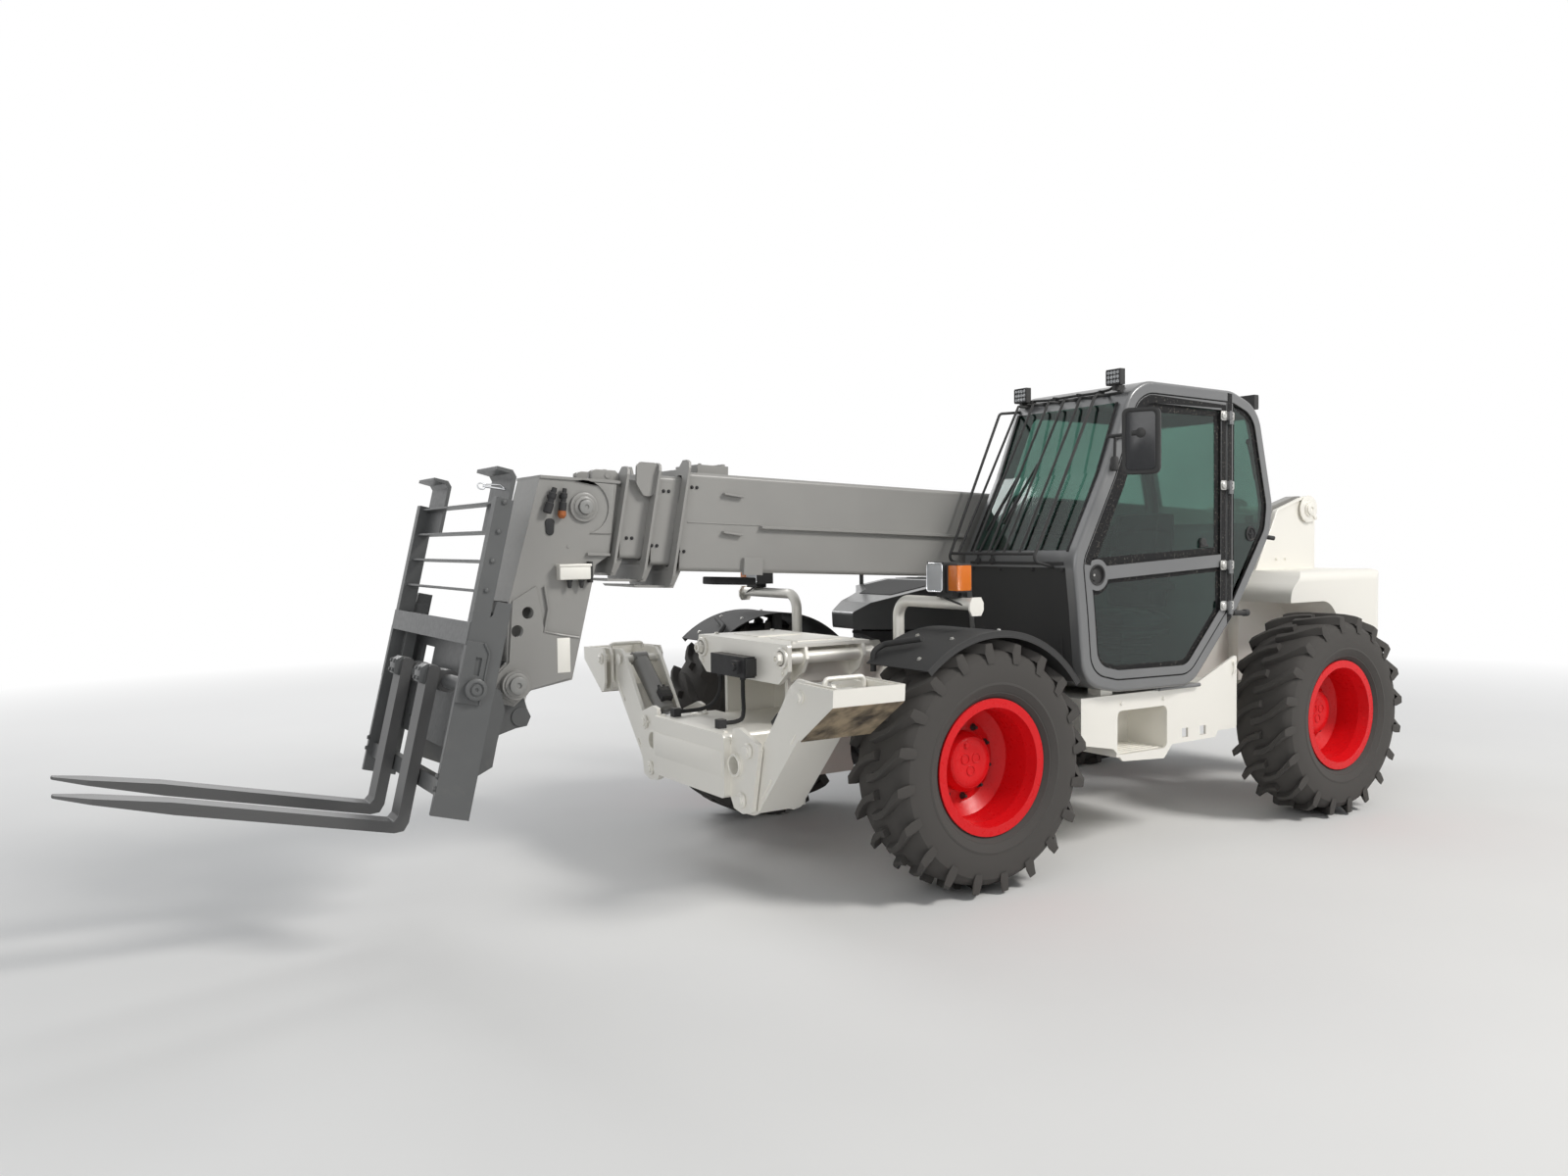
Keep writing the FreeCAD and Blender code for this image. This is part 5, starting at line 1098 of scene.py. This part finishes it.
@dataclass
class Boom:
    """Studs, tabs, lap seams and rollers on the telescoping sections."""

    studs: tuple[tuple[str, float, float, float], ...] = (
        ("boom", 216, 4845, -115), ("boom", 216, 4910, -435), ("boom_stage_2", 185, 4985, -140),
        ("boom_stage_2", 185, 5044, -410), ("boom_stage_3", 156, 5166, -377))

    def sides(self) -> None:
        """Stud pairs of each section, on both sides."""
        for body in ("boom", "boom_stage_2", "boom_stage_3"):
            s = Sculpt(boom_space())
            for name, y, along, t in self.studs:
                if name == body:
                    for ds in (-14, 14):
                        s.turned([(0, -2), (9, -2), (9, 1), (6, 2), (6, 7), (5, 8), (0, 8)],
                                 (along + ds, y, t), steps=14)
            s.mirrored().done(f"{body}_studs", body, Finish.CAST)

    def outer(self) -> None:
        """Lap seam, wedge tabs and the fittings on top of the lowest section."""
        s = Sculpt(boom_space())
        s.plate(oblong(4462, -292, 4880, -286), Axis.Y, 214, 218, 1)
        s.plate(oblong(150, -306, 3078, -300), Axis.Y, 214, 217, 1)
        for t in (-142, -336):
            s.plate([(4572, t - 12), (4684, t - 2), (4684, t + 8), (4572, t - 2)], Axis.Y, 214, 242)
        s.mirrored()
        s.block((4586, -62, -42), (4604, 62, 26), 3)
        for along in (4626, 4752):
            for y in (-92, 92):
                s.bolt((along, y, 10), UP, 9)
        s.done("boom_side_details", "boom", Finish.BOOM)
        low = Sculpt(boom_space())
        low.block((4380, -60, -600), (4640, 60, -560), 8)
        low.done("boom_lower_guide", "boom", Finish.CAST)

    def rollers(self) -> None:
        """Roller blocks on top of the nose and the pins of the collars' ears."""
        s = Sculpt(boom_space())
        for y in (72, 112):
            s.plate(rounded([(5212, -112), (5352, -108), (5352, -58), (5330, -50), (5230, -50),
                             (5212, -66)], 10, 3), Axis.Y, y - 8, y + 8)
        s.mirrored()
        s.tube([(5271, -124, -76), (5271, 124, -76)], 15, 16)
        s.done("roller_blocks", "boom_stage_4", Finish.BOOM)
        roll = Sculpt(boom_space())
        for y in (-92, 92):
            roll.turned([(0, -11), (24, -11), (26, -8), (26, 8), (24, 11), (0, 11)], (5271, y, -76))
        roll.done("guide_rollers", "boom_stage_4", Finish.CAST)

    def build(self) -> None:
        """Make the boom's details."""
        self.sides()
        self.outer()
        self.rollers()


@dataclass
class Nose:
    """Pins, couplers, junction box and plates on the dropped nose."""

    pin: Flat = (4511.0, 1899.0)

    def bosses(self) -> None:
        """Doublers and washers round the two pins, on both sides."""
        s = Sculpt()
        x, z = self.pin
        s.plate([(4352, 2008), *arc(x, z, 128, 76, 258, 14), (4372, 1771)], Axis.Y, 151, 160)
        s.turned([(52, 0), (52, 5), (44, 9), (36, 9), (36, 0)], (x, 170, z), steps=40)
        s.turned([(70, 0), (70, 5), (62, 8), (58, 8)], (x, 160, z), steps=44)
        tilt_x, _, tilt_z = TILT_PIN
        s.turned([(56, 0), (56, 6), (48, 9), (38, 9)], (tilt_x, 196, tilt_z), steps=40)
        s.tube([(4716, 161, 1528), (4700, 162, 1420), (4722, 162, 1316), (4640, 162, 1296),
                (4548, 162, 1278)], 6, 10)
        s.turned([(0, 0), (9, 0), (8, 2), (0, 2)], (4592, 152, 1712), steps=14)
        s.mirrored().done("nose_doublers", "boom_stage_4", Finish.BOOM)
        caps = Sculpt()
        caps.turned([(34, 0), (34, 8), (26, 11), (12, 11), (10, 6), (0, 6)], (x, 185, z), steps=36)
        caps.mirrored().done("nose_pin_caps", "boom_stage_4", Finish.HITCH)
        head = Sculpt()
        head.turned([(40, 0), (40, 8), (30, 12), (14, 12), (11, 5), (0, 5)],
                    (tilt_x, 213, tilt_z), steps=36)
        head.mirrored().done("tilt_pin_caps", "carriage", Finish.HITCH)

    def couplers(self) -> None:
        """Two capped hose couplers, the tab under them and the junction box."""
        s, rust = Sculpt(), Sculpt()
        for top, low, r in (((4662, 176, 1988), (4702, 176, 1872), 15),
                            ((4612, 174, 1986), (4626, 174, 1880), 13)):
            a, b = Vector(top), Vector(low)
            run, neck = b - a, a.lerp(b, 0.35)
            size = run.length
            s.turned([(0, 0), (r - 3, 0), (r - 2, 0.2 * size), (r + 3, 0.22 * size),
                      (r + 3, 0.42 * size), (r, 0.44 * size), (r, 0.6 * size), (r + 5, 0.62 * size),
                      (r + 5, size), (0, size)], a, run, 18)
            s.block(neck - Vector((16, 26, 10)), neck + Vector((16, 4, 10)), 3)
        s.plate(rounded([(4658, 1846), (4706, 1846), (4700, 1766), (4664, 1766)], 18, 4),
                Axis.Y, 151, 158)
        s.done("hose_couplers", "boom_stage_4", Finish.CAST)
        rust.turned([(0, 0), (19, 0), (20, 22), (12, 34), (0, 36)], (4627, 174, 1880),
                    (0.1, 0, -1), 18)
        rust.done("coupler_cap", "boom_stage_4", Finish.RUST)
        case = Sculpt()
        case.block((4500, 152, 1556), (4656, 206, 1622), 7)
        case.block((4496, 150, 1618), (4660, 212, 1630), 4)
        case.plate(oblong(4596, 1117, 4660, 1281), Axis.Y, 161.5, 163.5, 0.6)
        case.done("junction_box", "boom_stage_4", Finish.CREAM)
        gland = Sculpt()
        for x in (4538, 4598):
            gland.turned([(15, 0), (15, 10), (11, 12), (11, 26), (8, 40), (0, 42)],
                         (x, 178, 1557), (0, 0, -1), 18)
        gland.plate(oblong(4486, 1540, 4500, 1640), Axis.Y, 152, 196)
        gland.done("junction_glands", "boom_stage_4", Finish.BLACK)

    def build(self) -> None:
        """Make the nose's details."""
        self.bosses()
        self.couplers()


@dataclass
class Carriage:
    """Boss caps, fork clamps and the locking pin."""

    def build(self) -> None:
        """Make the carriage's details."""
        s = Sculpt(carriage_space())
        s.turned([(46, 0), (46, 4), (38, 8), (30, 8), (30, 3), (22, 3), (22, 9), (8, 9), (7, 4),
                  (0, 4)], (334, 643, -26), steps=40)
        s.tube(rounded_path([(301, 622, -88), (301, 622, 128), (330, 622, 168)], 20), 5, 10)
        for b in (365, 490, 615, 742):
            s.bolt((365, 611, b + 20), LEFT, 9)
        for b in (-452, -400):
            s.bolt((405, 596, b), AHEAD, 10)
        s.mirrored().done("carriage_boss_caps", "carriage", Finish.CARRIAGE)
        wire = Sculpt(carriage_space())
        wire.tube(rounded_path([(352, 560, 822), (452, 560, 812)], 5), 5, 10)
        loop = [(458 + 17 * math.cos(a), 560, 811 + 13 * math.sin(a))
                for a in (2 * math.pi * k / 20 for k in range(20))]
        wire.tube(loop, 3.2, 8, closed=True)
        wire.tube(rounded_path([(352, 560, 822), (380, 560, 836), (452, 560, 820)], 8), 3, 8)
        wire.done("locking_pin", "carriage", Finish.CHROME)
        for name, out in SIDES:
            y = 215 * out
            fork = Sculpt(carriage_space())
            fork.plate(rounded([(392, -66), (462, -50), (468, 10), (440, 34), (392, 34)], 10, 3),
                       Axis.Y, y - 43, y + 43, 3)
            for b in (-34, 8):
                for dy in (-26, 26):
                    fork.bolt((464, y + dy, b), Vector((1, 0, 0.1)), 9)
            fork.turned([(33, 0), (50, 0), (52, 3), (52, 15), (50, 18), (33, 18)],
                        (334, y - 46 * out, -26), (0, -out, 0), 32)
            fork.done(f"fork_clamp_{name}", f"fork_{name}", Finish.CARRIAGE)


@dataclass
class Stabilisers:
    """Pin heads, stained soles, handles and valve blocks of the front stabilisers."""

    front: float = 3900.0
    rear: float = 3520.0

    def build(self) -> None:
        """Make the details of both sides."""
        beam = Sculpt()
        for y, z in ((503, 470), (569, 720)):
            beam.turned([(34, -9), (38, -7), (38, 2), (34, 5), (24, 5), (22, 12), (0, 12)],
                        (3872, y, z), (1, 0, 0), 30)
            beam.bolt((3862, y - 46, z + 6), AHEAD, 9)
        beam.strip(arc(450, 634, 51, 0, 360, 40)[:-1], Axis.X, 3874, 3880, 12)
        beam.mirrored()
        beam.block((3899, -372, 566), (3903, 372, 694), 2)
        beam.turned([(46, 0), (46, 8), (38, 12), (16, 12), (14, 20), (0, 20)], (3660, -300, 780),
                    (0, 0, 1), 30)
        for y in (-340, 340):
            beam.bolt((3860, y, 780), UP, 12)
        beam.done("beam_details", "chassis", Finish.CREAM)
        for name, out in SIDES:
            def at(points: Iterable[Point]) -> list[Point]:
                """The same points on this side."""
                return [(x, out * y, z) for x, y, z in points]
            sole = Sculpt()
            face = [(1338.5, 1014), (1087, 838.5), (1084, 842), (1337, 1018)]
            sole.plate([(out * y, z) for y, z in face], Axis.X, self.rear - 3, self.front - 2, 0.5)
            sole.done(f"sole_{name}", f"stabiliser_foot_{name}", Finish.SOLE)
            foot = Sculpt()
            foot.tube(rounded_path(at([(3600, 1150, 1070), (3600, 1150, 1116), (3810, 1150, 1116),
                                       (3810, 1150, 1070)]), 36), 12, 14)
            foot.turned([(30, 0), (34, 3), (34, 9), (22, 12), (20, 22), (0, 22)],
                        (self.front - 1, out * 1086, 1037), (1, 0, 0), 28)
            foot.done(f"foot_bars_{name}", f"stabiliser_foot_{name}", Finish.CREAM)
            arm = Sculpt()
            arm.turned([(28, 0), (32, 3), (32, 8), (24, 11), (0, 11)], (3839, out * 960, 1040),
                       (1, 0, 0), 28)
            for y, z in ((640, 500), (900, 800)):
                arm.tube(at([(3834, y, z), (3834, y + 90, z + 102)]), 5, 10)
            arm.done(f"arm_pins_{name}", f"stabiliser_arm_{name}", Finish.CREAM)
            start = (3709, out * 569, 720)
            ram = Sculpt(line_space(start, (3709, out * 960, 1040)))
            ram.block((92, -34, 50), (172, 34, 96), 5)
            for y in (-16, 16):
                ram.turned([(11, 0), (11, 12), (8, 14), (8, 26), (0, 26)], (172, y, 76), (1, 0, 0),
                           14)
            ram.done(f"ram_valve_{name}", f"stabiliser_barrel_{name}", Finish.CAST)


@dataclass
class Body:
    """Bracket nuts, tower trim, lamp lenses, fender fittings and hood panels."""

    def bracket(self) -> None:
        """Washers and nuts on the bracket's two tubes, and bolts on its cover."""
        s = Sculpt()
        s.turned([(40, 0), (54, 0), (56, 3), (56, 10), (52, 13), (40, 13)], (3569, 419, 1136),
                 (1, 0, 0), 36)
        s.turned([(34, 0), (30, 22), (16, 24), (14, 12), (0, 12)], (3588, 419, 1136), (1, 0, 0), 6)
        s.bolt((3569, 419, 1060), AHEAD, 11)
        for x in (3120, 3490):
            s.bolt((x, 400, 1206), UP, 12)
        s.block((3140, 60, 1205), (3420, 330, 1211), 2)
        s.mirrored().done("bracket_nuts", "chassis", Finish.CREAM)
        case = Sculpt()
        case.block((3570, 152, 1024), (3630, 168, 1116), 3)
        case.bolt((3622, 90, 1071), AHEAD, 14)
        case.done("valve_cover", "chassis", Finish.BLACK)

    def tower(self) -> None:
        """Folded edge, pin plate and bolts of the boom tower."""
        s = Sculpt()
        edge = [(-985, 1925), (-955, 1962), (-912, 1984), (-850, 1989), (-564, 1897), (-334, 1497),
                (-44, 1116)]
        s.strip(edge, Axis.Y, 329, 342, 20, closed=False)
        x, _, z = BOOM_PIVOT
        s.turned([(92, 0), (96, 4), (96, 10), (84, 14), (56, 14), (54, 24), (44, 24)], (x, 341, z),
                 steps=44)
        s.turned([(42, 0), (42, 10), (32, 14), (14, 14), (12, 6), (0, 6)], (x, 365, z), steps=36)
        s.plate(rounded([(-990, 1838), (-966, 1830), (-930, 1866), (-952, 1886)], 8, 3), Axis.Y,
                352, 364)
        s.plate([(-470, 1380), (-100, 1120), (-100, 1126), (-466, 1386)], Axis.Y, 329, 334, 1)
        for x, z in ((-560, 1560), (-660, 1560), (-250, 1000), (-250, 880)):
            s.bolt((x, 330, z), LEFT, 10)
        s.mirrored().done("tower_trim", "chassis", Finish.CREAM)

    def lenses(self) -> None:
        """Clear, amber and red lenses of the road lamps with their bezels."""
        square = rounded(oblong(826, 1468, 944, 1606), 14, 4)
        for name, finish, lens in (
                ("head_lamp_lenses", Finish.LENS, Sculpt().plate(square, Axis.X, 2959, 2966, 2.5)),
                ("turn_lamp_lenses", Finish.AMBER,
                 Sculpt().block((2864, 974, 1472), (2956, 1046, 1598), 8)),
                ("tail_lamp_lenses", Finish.RUBY,
                 Sculpt().block((-1113, 614, 1229), (-1103, 711, 1301), 3)),
                ("head_lamp_bezels", Finish.CHROME, Sculpt().strip(square, Axis.X, 2952, 2969, 6))):
            lens.mirrored().done(name, "chassis", finish)
        bar = Sculpt()
        bar.turned([(0, 0), (11, 0), (11, 12), (6, 14), (6, 30), (0, 30)], (2888, 1000, 1437),
                   (0, 0, 1), 14)
        bar.tube(rounded_path([(2900, 905, 1462), (2934, 905, 1440), (2926, 985, 1418),
                               (2912, 1040, 1402)], 20), 5, 10)
        bar.mirrored().done("lamp_fittings", "chassis", Finish.BLACK)

    def fenders(self) -> None:
        """Rolled lips, bracket tubes and bolts of the front fenders."""
        for name, out in SIDES:
            body = f"knuckle_front_{name}"
            s = Sculpt()
            for r in (662, 640):
                s.tube([(x, out * 1219, z) for x, z in arc(2850, 620, r, 49, 145, 40)], 4, 8)
            s.tube(rounded_path([(3262, out * 770, 1080), (3262, out * 770, 1180),
                                 (3216, out * 800, 1214), (3150, out * 1010, 1250)], 50), 15, 14)
            s.done(f"fender_lip_{name}", body, Finish.BLACK)
            bolts = Sculpt()
            for angle, y in ((55, 1090), (72, 860), (72, 1120), (98, 1120), (124, 1120)):
                a = math.radians(angle)
                way = Vector((math.cos(a), 0, math.sin(a)))
                bolts.bolt(Vector((2850, out * y, 620)) + way * 663.5, way, 9)
            bolts.done(f"fender_bolts_{name}", body, Finish.ZINC)

    def hood(self) -> None:
        """Dark inset panels, the side grille and the catch of the engine hood."""
        s = Sculpt()

        def top(x: float) -> float:
            """Height of the hood's upper face."""
            return 1460 if x < 1750 else 1460 - (x - 1750) * 115 / 700
        s.slab([(x, y, top(x) + 0.5) for x, y in (
            (1790, -1030), (2000, -1030), (2110, -850), (2230, -760), (2230, -430), (1790, -430))],
               3, 1)
        s.slab([(x, y, 1460.5) for x, y in oblong(820, -1050, 1710, -390)], 3, 1)
        s.slab([(x, -1110.5, z) for x, z in oblong(860, 1210, 1760, 1400)], 3, 1)
        s.done("hood_panels", "hood", Finish.BLACK)
        grille = Sculpt()
        for i in range(16):
            start = 890 + i * 56
            grille.slab([(x, -1113, z) for x, z in oblong(start, 1228, start + 30, 1382)], 4, 1)
        for i in range(9):
            grille.block((860 + i * 96, -980, 1463), (900 + i * 96, -460, 1468), 2)
        grille.block((1830, -1122, 1250), (1960, -1110, 1290), 5)
        grille.done("hood_grille", "hood", Finish.CAST)

    def step(self) -> None:
        """Grip bars on the step and bolts of the left frame box."""
        s = Sculpt()
        for i in range(6):
            s.block((1470, 800 + 40 * i, 551), (1818, 812 + 40 * i, 557), 2)
        for x in (1476, 1812):
            s.bolt((x, 1050, 830), LEFT, 10)
        s.bolt((868, 1050, 990), LEFT, 12)
        s.tube(rounded_path([(868, 1054, 985), (868, 1066, 950), (880, 1056, 920)], 10), 5, 10)
        s.done("step_details", "chassis", Finish.CREAM)

    def build(self) -> None:
        """Make the details of the body."""
        for make in (self.bracket, self.tower, self.lenses, self.fenders, self.hood, self.step):
            make()


def seen_rays(tree: bpy.types.NodeTree) -> bpy.types.NodeSocket:
    """1 for rays of the camera, off gloss and through glass, which see the pale backdrop."""
    path = tree.nodes.new("ShaderNodeLightPath")
    seen = path.outputs["Is Camera Ray"]
    for kind in ("Is Glossy Ray", "Is Transmission Ray"):
        either = tree.nodes.new("ShaderNodeMath")
        either.operation = "MAXIMUM"
        tree.links.new(seen, either.inputs[0])
        tree.links.new(path.outputs[kind], either.inputs[1])
        seen = either.outputs[0]
    return seen


@dataclass
class Studio:
    """Plain floor, soft light and the camera at the photograph's place."""

    place: Point = (3.908, 5.390, 1.7245)
    right: Point = (-0.84481, 0.53493, -0.01218)
    up: Point = (-0.03156, -0.02710, 0.99913)
    ahead: Point = (-0.53413, -0.84446, -0.03978)
    focal: float = 26.9
    reach: float = 60.0
    white_from: float = 4.0
    white_to: float = 13.0

    def floor(self) -> None:
        """Pale floor that keeps the shadow and is white to the camera far out."""
        mesh = bpy.data.meshes.new("floor")
        corners = oblong(-self.reach, -self.reach, self.reach, self.reach)
        mesh.from_pydata([(x, y, 0) for x, y in corners], [], [(0, 1, 2, 3)])
        floor = linked("floor", mesh)
        n = Nodes("pale_floor")
        pale = n.blend(n.ramp(n.noise(0.6, 3.0), 0.3, 0.7), (0.80, 0.80, 0.79), (0.77, 0.77, 0.765))
        n.set(Base_Color=pale, Roughness=0.85)
        far = n.add("ShaderNodeVectorMath")
        far.operation = "LENGTH"
        n.join(n.place, far.inputs[0])
        white = n.add("ShaderNodeEmission")
        mix = n.add("ShaderNodeMixShader")
        out = n.ramp(far.outputs["Value"], self.white_from, self.white_to)
        n.join(n.times(out, seen_rays(n.tree)), mix.inputs[0])
        n.join(n.shader.outputs[0], mix.inputs[1])
        n.join(white.outputs[0], mix.inputs[2])
        n.join(mix.outputs[0], n.tree.nodes["Material Output"].inputs["Surface"])
        mesh.materials.append(n.material)

    def sky(self) -> None:
        """World that is white to the camera, to gloss and through glass."""
        world = bpy.data.worlds.new("studio")
        bpy.context.scene.world = world
        world.use_nodes = True
        tree = world.node_tree
        soft, white = tree.nodes["Background"], tree.nodes.new("ShaderNodeBackground")
        for node, tint, strength in ((soft, (0.93, 0.96, 1.0), 0.33), (white, (1, 1, 1), 1.0)):
            node.inputs["Color"].default_value = (*tint, 1)
            node.inputs["Strength"].default_value = strength
        mix = tree.nodes.new("ShaderNodeMixShader")
        for source, target in ((seen_rays(tree), mix.inputs[0]), (soft.outputs[0], mix.inputs[1]),
                               (white.outputs[0], mix.inputs[2]),
                               (mix.outputs[0], tree.nodes["World Output"].inputs["Surface"])):
            tree.links.new(source, target)

    def lamp(self, name: str, spot: Point, aim: Point, size: float, power: float,
             tint: Colour = (1, 1, 1)) -> None:
        """Add one square soft lamp."""
        data = bpy.data.lights.new(name, "AREA")
        data.size, data.energy, data.color = size, power, tint
        lamp = linked(name, data)
        lamp.location = spot
        lamp.rotation_euler = (Vector(aim) - Vector(spot)).to_track_quat("-Z", "Y").to_euler()

    def camera(self) -> None:
        """Camera fitted to the photograph."""
        data = bpy.data.cameras.new("camera")
        data.lens, data.sensor_width = self.focal, 36.0
        data.clip_end = 200.0
        camera = linked("camera", data)
        columns = (self.right, self.up, -Vector(self.ahead), self.place)
        camera.matrix_world = Matrix([*zip(*columns), (0, 0, 0, 1)])
        bpy.context.scene.camera = camera

    def build(self) -> None:
        """Set up floor, light and camera."""
        self.floor()
        self.sky()
        self.lamp("key", (-5.0, 9.0, 9.5), (0, 0, 1.0), 3.2, 1080, (1.0, 0.975, 0.94))
        self.lamp("fill", (8.0, 6.5, 4.5), (0.5, 0, 1.0), 5.0, 190)
        self.lamp("rim", (1.0, -8.0, 6.5), (0, 0, 1.2), 4.0, 260)
        self.camera()
        bpy.context.scene.view_settings.view_transform = "Standard"


@dataclass
class Carried:
    """The CAD pieces that stay in view, each with its finish."""

    finishes: dict[Finish, tuple[str, ...]] = field(default_factory=lambda: {
        Finish.CREAM: ("chassis_frame", "rear_body", "side_step", "outrigger_beam",
                       "front_bracket", "lamp_bars", "stabiliser_arm_left",
                       "stabiliser_arm_right", "stabiliser_foot_left", "stabiliser_foot_right"),
        Finish.BOOM: ("boom_outer", "boom_second", "boom_third", "boom_inner", "lift_barrel",
                      "tilt_barrel", "stabiliser_barrel_left", "stabiliser_barrel_right"),
        # The carriage's finish is the boom grey darkened as painted shade.
        Finish.CARRIAGE: ("carriage",),
        Finish.FORK: ("fork_left", "fork_right"),
        Finish.CAB: ("cab_shell", "cab_door", "hood"),
        Finish.CAST: ("hydraulics", "front_axle", "rear_axle", "driveline", "engine_bay",
                      "engine_block", "knuckle_front_left", "knuckle_front_right",
                      "knuckle_rear_left", "knuckle_rear_right"),
        Finish.RED: ("rim_front_left", "rim_front_right", "rim_rear_left", "rim_rear_right"),
        Finish.BLACK: ("cab_front_panel", "controls", "mirrors", "screen_guard", "fender_left",
                       "fender_right", "lamps"),
        Finish.GLASS: ("cab_glass", "door_glass"),
        Finish.CLOTH: ("seat",),
        Finish.HOSE: ("hoses",),
        Finish.CHROME: ("lift_rod", "tilt_rod", "stabiliser_rod_left", "stabiliser_rod_right"),
    })

    def build(self, nodes: dict[str, bpy.types.Object]) -> None:
        """Give each CAD piece its finish.

        Args:
            nodes: The frame's pieces by name.
        """
        for finish, names in self.finishes.items():
            for name in names:
                mesh = nodes[name].data
                mesh.materials.clear()
                mesh.materials.append(finish.material())


def main() -> None:
    """Load the frame, dress it and set up the studio."""
    logging.basicConfig(level=logging.INFO, format="%(message)s")
    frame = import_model()
    Carried().build(frame["nodes"])
    for group in (Wheels(), Cab(), Boom(), Nose(), Carriage(), Stabilisers(), Body(), Studio()):
        group.build()


if __name__ == "__main__":
    main()
